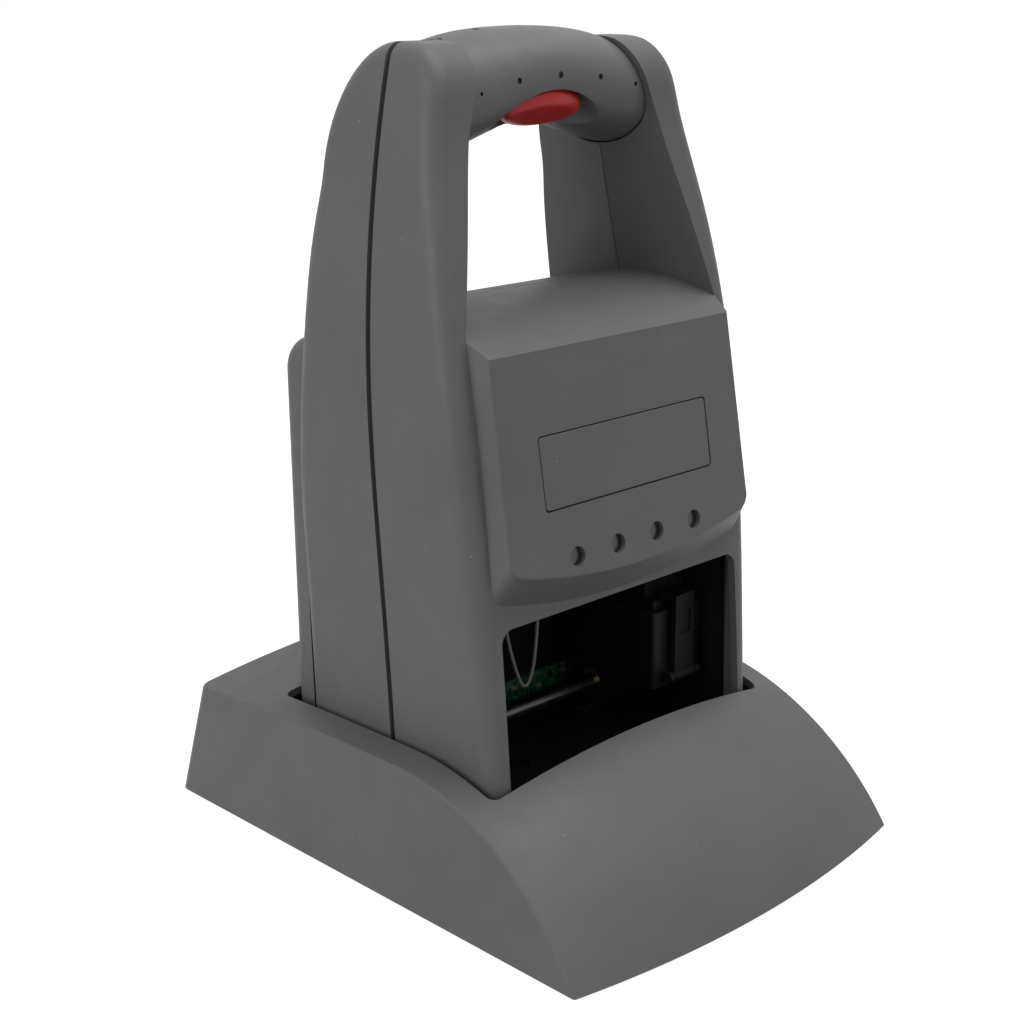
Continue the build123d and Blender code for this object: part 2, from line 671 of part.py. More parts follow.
# Housing
BOSS_X_LOW = 48.0
BOSS_Z_LOW = 118.0
BOSS_X_HIGH = 48.2
BOSS_Z_HIGH = 188.0
SHELL_BOSSES = [
    (side * x, z)
    for x, z in ((BOSS_X_LOW, BOSS_Z_LOW), (BOSS_X_HIGH, BOSS_Z_HIGH))
    for side in (-1, 1)
]
SHELL_HEAD_Y = {BOSS_Z_LOW: 33.0, BOSS_Z_HIGH: 26.0}
SHELL_SCREW_LENGTH = 36.0
LAMP_X = [LAMP_PITCH * i for i in (-1.5, -0.5, 0.5, 1.5)]
PANEL_POSTS = ((-38, -14.5), (38, -14.5), (-38, 27.5), (38, 27.5))
PANEL_BOARD_DEPTH = 10.8
CORE_RADIUS = 150.0
CORE_TOP = 238.0
CORE_HEIGHT = 7.0
CORE_FRONT = 0.5
CORE_BACK = 14.5
CORE_HALF = 41.5
CONTACT_Z = 130.0
CONTACT_HALF = 12.0
CONTACT_HEIGHT = 7.4


def core_form(extra):
    """The arched bar inside the grip, thicker all round by extra."""
    with BuildPart() as core:
        with BuildSketch(Plane.XZ.offset(-(CORE_FRONT - extra))):
            with BuildLine():
                centre_z = CORE_TOP - CORE_RADIUS
                half = degrees(asin((CORE_HALF + extra) / CORE_RADIUS))
                top = CenterArc((0, centre_z), CORE_RADIUS + extra, 90 - half, 2 * half)
                low = CenterArc((0, centre_z), CORE_RADIUS - CORE_HEIGHT - extra, 90 - half, 2 * half)
                Line(top @ 0, low @ 0)
                Line(top @ 1, low @ 1)
            make_face()
        extrude(amount=-(CORE_BACK - CORE_FRONT + 2 * extra))
    return core.part


with BuildPart() as panel_solid:
    flanks = [panel_outline(PANEL_DEPTH, PANEL_FLARE, PANEL_DROP), panel_outline(0, 0, 0)]
    add(loft(flanks, ruled=True, mode=Mode.PRIVATE))
    extrude(panel_outline(PANEL_DEPTH, PANEL_FLARE, PANEL_DROP), amount=-4)
    front_face = panel_solid.faces().sort_by(Axis((0, 0, 0), panel_plane(0).z_dir))[-1]
    fillet(front_face.edges(), 0.8)
    add(above_arch(0), mode=Mode.SUBTRACT)

with BuildPart() as panel_hollow:
    extrude(panel_outline(PANEL_FACE, 0, 0, inset=PANEL_FACE), amount=-(PANEL_DEPTH + 6 - PANEL_FACE))
    add(above_arch(WALL), mode=Mode.SUBTRACT)

# The whole housing as one walled form, before it is split
with BuildPart() as housing_cavity:
    add(body_form(WALL, BODY_BASE - 5))
    add(hole_form(WALL), mode=Mode.SUBTRACT)
    add(core_form(SEAT))

with BuildPart() as housing:
    add(body_form(0, BODY_BASE))
    add(hole_form(0), mode=Mode.SUBTRACT)
    add(grip_form(-GRIP_COLLAR, -GRIP_GROOVE / 2), mode=Mode.SUBTRACT)
    add(stub_form(-1))
    add(stub_form(1))
    add(panel_solid.part)
    add(housing_cavity.part, mode=Mode.SUBTRACT)
    add(panel_hollow.part, mode=Mode.SUBTRACT)

# The ring-shaped groove that the gasket lies in, on the outer sides only
with BuildPart() as seam_ring:
    add(seam_slab(-SEAM_GROOVE_WIDTH / 2, SEAM_GROOVE_WIDTH / 2))
    add(body_form(SEAM_GROOVE_DEPTH, BODY_BASE - 5), mode=Mode.SUBTRACT)
    with BuildSketch(Plane.XZ.offset(-REACH)):
        with BuildLine():
            Polyline((-33, 0), (-39, 212), (-28, 250), (28, 250), (39, 212), (33, 0), close=True)
        make_face()
    extrude(amount=2 * REACH, mode=Mode.SUBTRACT)

with BuildPart() as rear_bosses:
    for x, z in SHELL_BOSSES:
        with BuildSketch(Plane.XZ.offset(-(SEAM_LEAN * z))):
            with Locations((x, z)):
                Circle(BOSS_RADIUS)
        extrude(amount=-REACH)
    add(body_form(WALL / 2, BODY_BASE), mode=Mode.INTERSECT)
    add(hole_form(WALL / 2), mode=Mode.SUBTRACT)
    add(seam_slab(SEAM_GAP / 2, REACH), mode=Mode.INTERSECT)

with BuildPart() as front_bosses:
    for x, z in SHELL_BOSSES:
        with BuildSketch(Plane.XZ.offset(-(SEAM_LEAN * z + 1))):
            with Locations((x, z)):
                Circle(BOSS_RADIUS)
        extrude(amount=REACH)
    add(body_form(WALL / 2, BODY_BASE), mode=Mode.INTERSECT)
    add(hole_form(WALL / 2), mode=Mode.SUBTRACT)
    add(seam_slab(-REACH, -SEAM_GAP / 2), mode=Mode.INTERSECT)

with BuildPart() as front_shell:
    add(housing.part)
    add(seam_slab(-REACH, -SEAM_GAP / 2), mode=Mode.INTERSECT)
    add(seam_ring.part, mode=Mode.SUBTRACT)
    add(front_bosses.part)
    with BuildSketch(Plane.XZ.offset(REACH / 2)) as window:
        with Locations((0, (PLATE_TOP + WINDOW_TOP) / 2)):
            Rectangle(2 * WINDOW_HALF, WINDOW_TOP - PLATE_TOP)
        fillet(window.vertices().group_by(Axis.Y)[-1], WINDOW_CORNER)
    extrude(amount=-(REACH / 2 - 5), mode=Mode.SUBTRACT)
    with BuildSketch(panel_plane(0)):
        with Locations((0, KEY_HEIGHT / 2)):
            RectangleRounded(KEY_WIDTH, KEY_HEIGHT, KEY_CORNER)
        with Locations(*[(x, LAMP_V) for x in LAMP_X]):
            Circle(LAMP_RADIUS + RUNNING)
    extrude(amount=-PANEL_FACE - 0.5, mode=Mode.SUBTRACT)
    with BuildSketch(panel_plane(PANEL_FACE)):
        with Locations(*[(x, LAMP_V) for x in LAMP_X]):
            Circle(LAMP_RADIUS + 1.2)
    extrude(amount=-(PANEL_BOARD_DEPTH - PANEL_FACE), mode=Mode.SUBTRACT)
    with BuildSketch(panel_plane(PANEL_FACE)):
        with Locations(*PANEL_POSTS):
            Circle(3)
    extrude(amount=-(PANEL_BOARD_DEPTH - PANEL_FACE))
    with BuildSketch(panel_plane(PANEL_FACE + 1)):
        with Locations(*PANEL_POSTS):
            Circle(1.25)
    extrude(amount=-(PANEL_BOARD_DEPTH - PANEL_FACE), mode=Mode.SUBTRACT)
    for x, z in SHELL_BOSSES:
        with BuildSketch(Plane.XZ.offset(-(SHELL_HEAD_Y[z]))):
            with Locations((x, z)):
                Circle(SCREW_RADIUS + RUNNING)
        extrude(amount=SHELL_SCREW_LENGTH + 0.5, mode=Mode.SUBTRACT)
save(front_shell, "front_shell")

with BuildPart() as rear_shell:
    add(housing.part)
    add(seam_slab(SEAM_GAP / 2, REACH), mode=Mode.INTERSECT)
    add(seam_ring.part, mode=Mode.SUBTRACT)
    add(rear_bosses.part)
    for x, z in SHELL_BOSSES:
        with BuildSketch(Plane.XZ.offset(-(SHELL_HEAD_Y[z] - SCREW_HEAD))):
            with Locations((x, z)):
                Circle(SCREW_HEAD_RADIUS + SEAT / 2)
        extrude(amount=-REACH, mode=Mode.SUBTRACT)
        with BuildSketch(Plane.XZ.offset(-(SHELL_HEAD_Y[z]))):
            with Locations((x, z)):
                Circle(SCREW_RADIUS + SEAT / 2)
        extrude(amount=SHELL_SCREW_LENGTH, mode=Mode.SUBTRACT)
    with BuildSketch(Plane.XZ.offset(-20)):
        with Locations((0, CONTACT_Z)):
            Rectangle(2 * CONTACT_HALF, CONTACT_HEIGHT)
    extrude(amount=-REACH, mode=Mode.SUBTRACT)
    for side in (-1, 1):
        with BuildSketch(Plane.XZ.offset(-(REAR_LINE[0][0] + BATTERY_RAIL_DEPTH))):
            with Locations((side * BATTERY_RAIL_X, sum(BATTERY_RAIL_Z) / 2)):
                RectangleRounded(BATTERY_RAIL_WIDTH, BATTERY_RAIL_Z[1] - BATTERY_RAIL_Z[0], 2)
        extrude(amount=BATTERY_RAIL_DEPTH + WALL / 2)
save(rear_shell, "rear_shell")

with BuildPart() as seam_gasket:
    add(seam_slab(-SEAM_GROOVE_WIDTH / 2 + RUNNING, SEAM_GROOVE_WIDTH / 2 - RUNNING))
    add(seam_ring.part, mode=Mode.INTERSECT)
    add(body_form(GASKET_RECESS, BODY_BASE), mode=Mode.INTERSECT)
save(seam_gasket, "seam_gasket")

# Grip
with BuildPart() as grip_bar:
    add(grip_form(0, GRIP_GROOVE / 2))
    with BuildSketch(trigger_plane(-6)):
        Ellipse(RECESS_HALF_LONG + 4, RECESS_HALF_WIDE + 3)
    extrude(amount=-(6 + RECESS_DEPTH + RECESS_FLOOR), mode=Mode.PRIVATE)

with BuildPart() as grip_hollow:
    add(grip_form(GRIP_WALL, -3))
    with BuildSketch(trigger_plane(-6)):
        Rectangle(4 * RECESS_HALF_LONG, 4 * RECESS_HALF_WIDE)
    extrude(amount=-(6 + RECESS_DEPTH + RECESS_FLOOR), mode=Mode.SUBTRACT)

with BuildPart() as trigger_recess:
    for depth, shrink in ((-3, -0.6), (RECESS_DEPTH, 4.2)):
        with BuildSketch(trigger_plane(depth)):
            Ellipse(RECESS_HALF_LONG - shrink, RECESS_HALF_WIDE - shrink * 0.45)
    loft(ruled=True)
    with BuildSketch(trigger_plane(RECESS_DEPTH)):
        Ellipse(TRIGGER_HALF_LONG + FIT, TRIGGER_HALF_WIDE + FIT)
    extrude(amount=-(RECESS_FLOOR + 1))

DIMPLES = [Location((x, -10.9, z)) for x, z in zip(DIMPLE_FRONT_X, DIMPLE_FRONT_Z)]
DIMPLE_TOP_Y = 5.2
DIMPLE_TOP_XZ = ((-30, 238.9), (-16, 241.6), (0, 242.6), (16, 241.6), (30, 238.9))
DIMPLES_TOP = [Location((x, DIMPLE_TOP_Y, z)) for x, z in DIMPLE_TOP_XZ]

with BuildPart() as grip_front:
    add(grip_bar.part)
    add(seam_slab(-REACH, -SEAM_GAP / 2), mode=Mode.INTERSECT)
    add(grip_hollow.part, mode=Mode.SUBTRACT)
    add(trigger_recess.part, mode=Mode.SUBTRACT)
    with Locations(*DIMPLES, *DIMPLES_TOP):
        Sphere(DIMPLE_RADIUS, mode=Mode.SUBTRACT)
save(grip_front, "grip_front")

with BuildPart() as grip_rear:
    add(grip_bar.part)
    add(seam_slab(SEAM_GAP / 2, REACH), mode=Mode.INTERSECT)
    add(grip_form(GRIP_WALL, -3), mode=Mode.SUBTRACT)
save(grip_rear, "grip_rear")

SWITCH_TOP = RECESS_DEPTH + RECESS_FLOOR + FIT + FLANGE_THICKNESS + TRIGGER_TRAVEL + FIT
SPRING_END = 15.4
FLANGE_DEPTH = RECESS_DEPTH + RECESS_FLOOR + FIT

with BuildPart() as handle_core:
    add(core_form(0))
    with BuildSketch(trigger_plane(SPRING_END + 2 * SPRING_WIRE, SPRING_X)):
        Circle(SPRING_RADIUS + 2 * SPRING_WIRE)
    extrude(amount=REACH, mode=Mode.SUBTRACT)
    with BuildSketch(trigger_plane(SWITCH_TOP + 6.5, SWITCH_X)):
        Rectangle(6 + SEAT, 6 + SEAT)
    extrude(amount=REACH, mode=Mode.SUBTRACT)
save(handle_core, "handle_core")

with BuildPart() as trigger:
    with BuildSketch(trigger_plane(FLANGE_DEPTH)):
        Ellipse(TRIGGER_HALF_LONG, TRIGGER_HALF_WIDE)
    extrude(amount=FLANGE_DEPTH + TRIGGER_PROUD)
    crown = trigger.faces().sort_by(Axis((0, 0, 0), trigger_plane(0).z_dir))[-1]
    fillet(crown.edges(), TRIGGER_CROWN)
    with BuildSketch(trigger_plane(FLANGE_DEPTH)):
        Ellipse(TRIGGER_HALF_LONG + TRIGGER_FLANGE, TRIGGER_HALF_WIDE - 0.4)
    extrude(amount=-FLANGE_THICKNESS)
    with BuildSketch(trigger_plane(FLANGE_DEPTH + FLANGE_THICKNESS, SPRING_X)):
        Circle(SPRING_RADIUS - 2 * SPRING_WIRE)
    extrude(amount=-1.5)
save(trigger, "trigger")

with BuildPart() as trigger_spring:
    seat = trigger_plane(FLANGE_DEPTH + FLANGE_THICKNESS + SPRING_WIRE, SPRING_X)
    length = SPRING_END - FLANGE_DEPTH - FLANGE_THICKNESS
    into = Plane(origin=seat.origin, x_dir=X_AXIS, z_dir=-seat.z_dir)
    coil = Helix(pitch=length / SPRING_TURNS, height=length, radius=SPRING_RADIUS, mode=Mode.PRIVATE)
    coil = into.location * coil
    with BuildSketch(Plane(origin=coil @ 0, z_dir=coil % 0)):
        Circle(SPRING_WIRE)
    sweep(path=coil)
save(trigger_spring, "trigger_spring")

with BuildPart() as trigger_switch:
    with BuildSketch(trigger_plane(SWITCH_TOP + 0.5, SWITCH_X)):
        Rectangle(6, 6)
    extrude(amount=-6)
    with BuildSketch(trigger_plane(SWITCH_TOP, SWITCH_X)):
        Circle(0.8)
    extrude(amount=-0.5)
save(trigger_switch, "trigger_switch")

# Control panel
PANEL_BOARD_SIZE = (84.0, 48.5)
PANEL_BOARD_V = 6.75
KEY_GAP = 0.35
STEM_X = 22.0
STEM_LENGTH = 1.6
SWITCH_RISE = 1.8
SWITCH_BUTTON = 1.6

with BuildPart() as control_key:
    with BuildSketch(panel_plane(0)):
        with Locations((0, KEY_HEIGHT / 2)):
            RectangleRounded(KEY_WIDTH - 2 * KEY_GAP, KEY_HEIGHT - 2 * KEY_GAP, KEY_CORNER)
    extrude(amount=-(PANEL_FACE + FIT))
    fillet(control_key.faces().sort_by(Axis((0, 0, 0), panel_plane(0).z_dir))[-1].edges(), 0.35)
    with BuildSketch(panel_plane(PANEL_FACE + FIT)):
        with Locations((0, KEY_HEIGHT / 2)):
            RectangleRounded(KEY_WIDTH + 2 * KEY_FLANGE, KEY_HEIGHT + 2 * KEY_FLANGE, KEY_CORNER + KEY_FLANGE)
    extrude(amount=-KEY_FLANGE)
    with BuildSketch(panel_plane(PANEL_FACE + FIT + KEY_FLANGE)):
        with Locations((-STEM_X, KEY_HEIGHT / 2), (STEM_X, KEY_HEIGHT / 2)):
            Circle(2)
    extrude(amount=-STEM_LENGTH)
save(control_key, "control_key")

with BuildPart() as led_lenses:
    with BuildSketch(panel_plane(LAMP_RECESS)):
        with Locations(*[(x, LAMP_V) for x in LAMP_X]):
            Circle(LAMP_RADIUS)
    extrude(amount=-(PANEL_FACE - LAMP_RECESS))
    with BuildSketch(panel_plane(PANEL_FACE)):
        with Locations(*[(x, LAMP_V) for x in LAMP_X]):
            Circle(LAMP_RADIUS + 0.9)
    extrude(amount=-1.2)
save(led_lenses, "led_lenses")

with BuildPart() as panel_board:
    with BuildSketch(panel_plane(PANEL_BOARD_DEPTH)):
        with Locations((0, PANEL_BOARD_V)):
            RectangleRounded(*PANEL_BOARD_SIZE, 2)
        with Locations(*PANEL_POSTS):
            Circle(1.4, mode=Mode.SUBTRACT)
    extrude(amount=-BOARD)
save(panel_board, "panel_board")

with BuildPart() as panel_board_parts:
    with BuildSketch(panel_plane(PANEL_BOARD_DEPTH - SWITCH_RISE)):
        with Locations((-STEM_X, KEY_HEIGHT / 2), (STEM_X, KEY_HEIGHT / 2)):
            Rectangle(6, 6)
    extrude(amount=-SWITCH_RISE)
    with BuildSketch(panel_plane(PANEL_BOARD_DEPTH - SWITCH_RISE - SWITCH_BUTTON)):
        with Locations((-STEM_X, KEY_HEIGHT / 2), (STEM_X, KEY_HEIGHT / 2)):
            Circle(1.7)
    extrude(amount=-SWITCH_BUTTON)
    with BuildSketch(panel_plane(PANEL_BOARD_DEPTH - 5)):
        with Locations(*[(x, LAMP_V) for x in LAMP_X]):
            Circle(1.5)
    extrude(amount=-5)
save(panel_board_parts, "panel_board_parts")

with BuildPart() as panel_board_screws:
    board_back = panel_plane(PANEL_BOARD_DEPTH + BOARD).location
    posts = [board_back * Location((u, v, 0), (180, 0, 0)) for u, v in PANEL_POSTS]
    with Locations(*posts):
        add(screw_form(7, head_radius=2.2, head=1.4, shaft=1.2))
save(panel_board_screws, "panel_board_screws")

with BuildPart() as shell_screws:
    heads = [Location((x, SHELL_HEAD_Y[z] - SCREW_HEAD, z), (-90, 0, 0)) for x, z in SHELL_BOSSES]
    with Locations(*heads):
        add(screw_form(SHELL_SCREW_LENGTH - SCREW_HEAD))
save(shell_screws, "shell_screws")

# Base plate and chassis
PLATE_FRONT = FRONT_LINE[0][0] + WALL + SEAT
PLATE_BACK = REAR_LINE[0][0] - WALL - SEAT
PLATE_MIDDLE_Y = (PLATE_FRONT + PLATE_BACK) / 2
CHASSIS_FEET = ((-46, -26), (46, -26), (-46, 29), (46, 29))
FOOT_FLANGE = 9.0
STANDOFFS = ((-34, 38), (32, 38), (-34, 82), (32, 82))
MAIN_BOARD_Y = 30.0
MAIN_BOARD_X = 0.5
MAIN_BOARD_WIDTH = 75.0
MAIN_BOARD_BASE = 30.0
MAIN_BOARD_TOP = 138.0
STRIP_Z = 33.0
PIN_RADIUS = 1.4

with BuildPart() as base_plate:
    with BuildSketch(Plane.XY.offset(BODY_BASE)):
        with Locations((0, PLATE_MIDDLE_Y)):
            RectangleRounded(2 * CHASSIS_HALF, PLATE_BACK - PLATE_FRONT, 3.4)
        with Locations((0, (SLOT_FRONT + SLOT_BACK) / 2)):
            RectangleRounded(2 * SLOT_HALF, SLOT_BACK - SLOT_FRONT, 1, mode=Mode.SUBTRACT)
        with Locations(*PLATE_HOLES):
            Circle(PLATE_HOLE_RADIUS, mode=Mode.SUBTRACT)
        with Locations(*CHASSIS_FEET):
            Circle(SCREW_RADIUS + SEAT / 2, mode=Mode.SUBTRACT)
    extrude(amount=PLATE_THICKNESS)
    with BuildSketch(Plane.XY.offset(BODY_BASE)):
        with Locations(*CHASSIS_FEET):
            Circle(SCREW_HEAD_RADIUS + SEAT / 2)
        with Locations(*[(x, BLOCK_Y) for x in PIN_X]):
            Circle(1.4 + RUNNING)
    extrude(amount=SCREW_HEAD, mode=Mode.SUBTRACT)
save(base_plate, "base_plate")

with BuildPart() as printer_contacts:
    with BuildSketch(Plane.XY.offset(BODY_BASE)):
        with Locations(*[(x, BLOCK_Y) for x in PIN_X]):
            Circle(1.4)
    extrude(amount=SCREW_HEAD)
save(printer_contacts, "printer_contacts")

with BuildPart() as base_plate_screws:
    with Locations(*[Location((x, y, BODY_BASE + SCREW_HEAD), (180, 0, 0)) for x, y in CHASSIS_FEET]):
        add(screw_form(PLATE_THICKNESS - SCREW_HEAD + CHASSIS_SHEET))
save(base_plate_screws, "base_plate_screws")

with BuildPart() as chassis:
    with BuildSketch(Plane.YZ.offset(-CHASSIS_HALF)) as side_sheet:
        with BuildLine():
            Polyline(
                (CHASSIS_FRONT, PLATE_TOP),
                (CHASSIS_FRONT + 2, CHASSIS_TOP),
                (CHASSIS_BACK, CHASSIS_TOP),
                (CHASSIS_BACK, PLATE_TOP),
                close=True,
            )
        make_face()
        fillet(side_sheet.vertices().sort_by(Axis.X)[1], 3)
    extrude(amount=2 * CHASSIS_HALF)
    with BuildSketch(Plane.YZ.offset(-(CHASSIS_HALF - CHASSIS_SHEET))):
        with BuildLine():
            Polyline(
                (-REACH, PLATE_TOP - 1),
                (-REACH, CHASSIS_TOP - CHASSIS_SHEET),
                (CHASSIS_BACK - CHASSIS_SHEET, CHASSIS_TOP - CHASSIS_SHEET),
                (CHASSIS_BACK - CHASSIS_SHEET, PLATE_TOP - 1),
                close=True,
            )
        make_face()
    extrude(amount=2 * (CHASSIS_HALF - CHASSIS_SHEET), mode=Mode.SUBTRACT)
    with BuildSketch(Plane.XY.offset(PLATE_TOP)):
        for x, y in CHASSIS_FEET:
            side = 1 if x > 0 else -1
            with Locations((side * (CHASSIS_HALF - CHASSIS_SHEET / 2 - FOOT_FLANGE / 2), y)):
                Rectangle(FOOT_FLANGE, 12)
    extrude(amount=CHASSIS_SHEET)
    with BuildSketch(Plane.XY.offset(PLATE_TOP)):
        for x, y in CHASSIS_FEET[2:]:
            side = 1 if x > 0 else -1
            flange_x = CHASSIS_HALF - CHASSIS_SHEET / 2 - FOOT_FLANGE / 2
            with Locations((side * flange_x, (CHASSIS_BACK - 1 + y) / 2)):
                Rectangle(FOOT_FLANGE, y - CHASSIS_BACK + 1)
    extrude(amount=CHASSIS_SHEET)
    with BuildSketch(Plane.XY.offset(PLATE_TOP - 1)):
        with Locations(*CHASSIS_FEET):
            Circle(SCREW_RADIUS + RUNNING)
    extrude(amount=CHASSIS_SHEET + 1, mode=Mode.SUBTRACT)
    with BuildSketch(Plane.XZ.offset(-(CHASSIS_BACK - 0.5))):
        with Locations(*STANDOFFS):
            Circle(2.6)
    extrude(amount=-(MAIN_BOARD_Y - CHASSIS_BACK + 0.5))
    with BuildSketch(Plane.XZ.offset(-MAIN_BOARD_Y)):
        with Locations(*STANDOFFS):
            Circle(1.25)
    extrude(amount=6, mode=Mode.SUBTRACT)
    with BuildSketch(Plane.YZ.offset(-REACH)):
        with Locations((ROD_Y, ROD_Z)):
            Circle(ROD_RADIUS + RUNNING)
    extrude(amount=2 * REACH, mode=Mode.SUBTRACT)
    with BuildSketch(Plane.XZ.offset(-(CHASSIS_BACK - 4))):
        with Locations((-PULLEY_X, PULLEY_Z)):
            Circle(MOTOR_SHAFT + 1)
    extrude(amount=-8, mode=Mode.SUBTRACT)
    with BuildSketch(Plane.XZ.offset(-(CHASSIS_BACK - 1))):
        with Locations((PULLEY_X, PULLEY_Z)):
            Circle(PIN_RADIUS)
    extrude(amount=CHASSIS_BACK - 1 - BELT_FRONT + 0.6)
save(chassis, "chassis")

with BuildPart() as guide_rod:
    with BuildSketch(Plane.YZ.offset(-CHASSIS_HALF)):
        with Locations((ROD_Y, ROD_Z)):
            Circle(ROD_RADIUS)
    extrude(amount=2 * CHASSIS_HALF)
    chamfer(guide_rod.edges().filter_by(GeomType.CIRCLE), 0.4)
save(guide_rod, "guide_rod")

with BuildPart() as rear_rail:
    with BuildSketch(Plane.YZ.offset(-(CHASSIS_HALF - CHASSIS_SHEET))):
        with Locations((CHASSIS_BACK - CHASSIS_SHEET - RAIL_DEPTH / 2, RAIL_Z)):
            Rectangle(RAIL_DEPTH, RAIL_HEIGHT)
    extrude(amount=2 * (CHASSIS_HALF - CHASSIS_SHEET))
save(rear_rail, "rear_rail")

with BuildPart() as strip_board:
    with BuildSketch(Plane.XZ.offset(-(CHASSIS_BACK - CHASSIS_SHEET))):
        with Locations((0, STRIP_Z)):
            Rectangle(2 * (CHASSIS_HALF - CHASSIS_SHEET) - 1, 7)
    extrude(amount=BOARD)
save(strip_board, "strip_board")

with BuildPart() as main_board:
    with BuildSketch(Plane.XZ.offset(-MAIN_BOARD_Y)):
        with Locations((MAIN_BOARD_X, (MAIN_BOARD_BASE + MAIN_BOARD_TOP) / 2)):
            RectangleRounded(MAIN_BOARD_WIDTH, MAIN_BOARD_TOP - MAIN_BOARD_BASE, 2)
        with Locations(*STANDOFFS):
            Circle(1.4, mode=Mode.SUBTRACT)
    extrude(amount=-BOARD)
save(main_board, "main_board")

with BuildPart() as main_board_chips:
    with BuildSketch(Plane.XZ.offset(-(MAIN_BOARD_Y + BOARD))):
        with Locations((-14, 100), (16, 108)):
            Rectangle(14, 14)
        with Locations((8, 62), (-18, 60), (20, 84)):
            Rectangle(10, 6)
    extrude(amount=-1.6)
save(main_board_chips, "main_board_chips")

with BuildPart() as main_board_screws:
    with Locations(*[Location((x, MAIN_BOARD_Y + BOARD, z), (-90, 0, 0)) for x, z in STANDOFFS]):
        add(screw_form(6, head_radius=2.2, head=1.4, shaft=1.2))
save(main_board_screws, "main_board_screws")

with BuildPart() as drive_motor:
    with BuildSketch(Plane.XZ.offset(-CHASSIS_BACK)):
        with Locations((-PULLEY_X, PULLEY_Z)):
            Circle(MOTOR_RADIUS)
    extrude(amount=-MOTOR_LENGTH)
    with BuildSketch(Plane.XZ.offset(-(CHASSIS_BACK - 0.5))):
        with Locations((-PULLEY_X, PULLEY_Z)):
            Circle(MOTOR_SHAFT + RUNNING)
    extrude(amount=-6, mode=Mode.SUBTRACT)
    chamfer(drive_motor.edges().group_by(Axis.Y)[-1], 0.8)
save(drive_motor, "drive_motor")


with BuildPart() as drive_pulley:
    with BuildSketch(Plane.XZ.offset(-(BELT_FRONT - 0.3))):
        with Locations((-PULLEY_X, PULLEY_Z)):
            Circle(PULLEY_RADIUS)
            with PolarLocations(PULLEY_RADIUS, 8):
                Circle(0.45, mode=Mode.SUBTRACT)
    extrude(amount=-(BELT_WIDTH + 0.6))
    with BuildSketch(Plane.XZ.offset(-(BELT_FRONT - 0.3))):
        with Locations((-PULLEY_X, PULLEY_Z)):
            Circle(MOTOR_SHAFT)
    extrude(amount=-(CHASSIS_BACK + 4 - BELT_FRONT + 0.3))
save(drive_pulley, "drive_pulley")

with BuildPart() as idler_pulley:
    with BuildSketch(Plane.XZ.offset(-(BELT_FRONT - 0.3))):
        with Locations((PULLEY_X, PULLEY_Z)):
            Circle(PULLEY_RADIUS)
            Circle(PIN_RADIUS + RUNNING, mode=Mode.SUBTRACT)
            with PolarLocations(PULLEY_RADIUS, 8):
                Circle(0.45, mode=Mode.SUBTRACT)
    extrude(amount=-(BELT_WIDTH + 0.6))
save(idler_pulley, "idler_pulley")

with BuildPart() as drive_belt:
    with BuildSketch(Plane.XZ.offset(-BELT_FRONT)):
        with Locations((0, PULLEY_Z)):
            SlotCenterToCenter(2 * PULLEY_X, 2 * (PULLEY_RADIUS + BELT_THICKNESS))
            SlotCenterToCenter(2 * PULLEY_X, 2 * (PULLEY_RADIUS + RUNNING), mode=Mode.SUBTRACT)
    extrude(amount=-BELT_WIDTH)
save(drive_belt, "drive_belt")

FLEX_PATH = ((-47, -33.0, 96), (-45.6, -34.4, 89), (-44, -34.6, 80), (-40.5, -34.4, 69), (-37.0, -34.0, 62.5),
             (-33.5, -33.8, 66), (-31.5, -33.6, 77), (-31.0, -33.6, 86.4))

with BuildPart() as flex_cable:
    with BuildLine() as flex_route:
        Spline(*FLEX_PATH)
    with BuildSketch(Plane(origin=flex_route.wire() @ 0, z_dir=flex_route.wire() % 0)):
        Circle(0.6)
    sweep()
save(flex_cable, "flex_cable")

# Carriage
CARRIAGE_LEFT = CARRIAGE_X - CARRIAGE_WIDTH / 2
CARRIAGE_RIGHT = CARRIAGE_X + CARRIAGE_WIDTH / 2
CARRIAGE_MIDDLE_Y = (CARRIAGE_FRONT + CARRIAGE_BACK) / 2
CARRIAGE_DEPTH = CARRIAGE_BACK - CARRIAGE_FRONT
BLOCK_BASE_Z = 30.5
BUSHING_RADIUS = ROD_RADIUS + RUNNING + BUSHING_WALL
CARTRIDGE_WIDTH = CARRIAGE_WIDTH - 2 * CARRIAGE_WALL - SEAT
CARTRIDGE_FRONT = CARRIAGE_FRONT + CARRIAGE_WALL + SEAT / 2
CARTRIDGE_BACK = CARRIAGE_BACK - CARRIAGE_WALL - SEAT / 2
HINGE_Y = CARRIAGE_FRONT - 2.2
HINGE_Z = 44.0
HINGE_PIN = 0.9
HINGE_BARREL = 1.8
LATCH_WIDTH = 9.0
LATCH_TOP = 71.0
CARTRIDGE_STEP_Z = 69.0
CLAMP_Z = PULLEY_Z - PULLEY_RADIUS - BELT_THICKNESS / 2

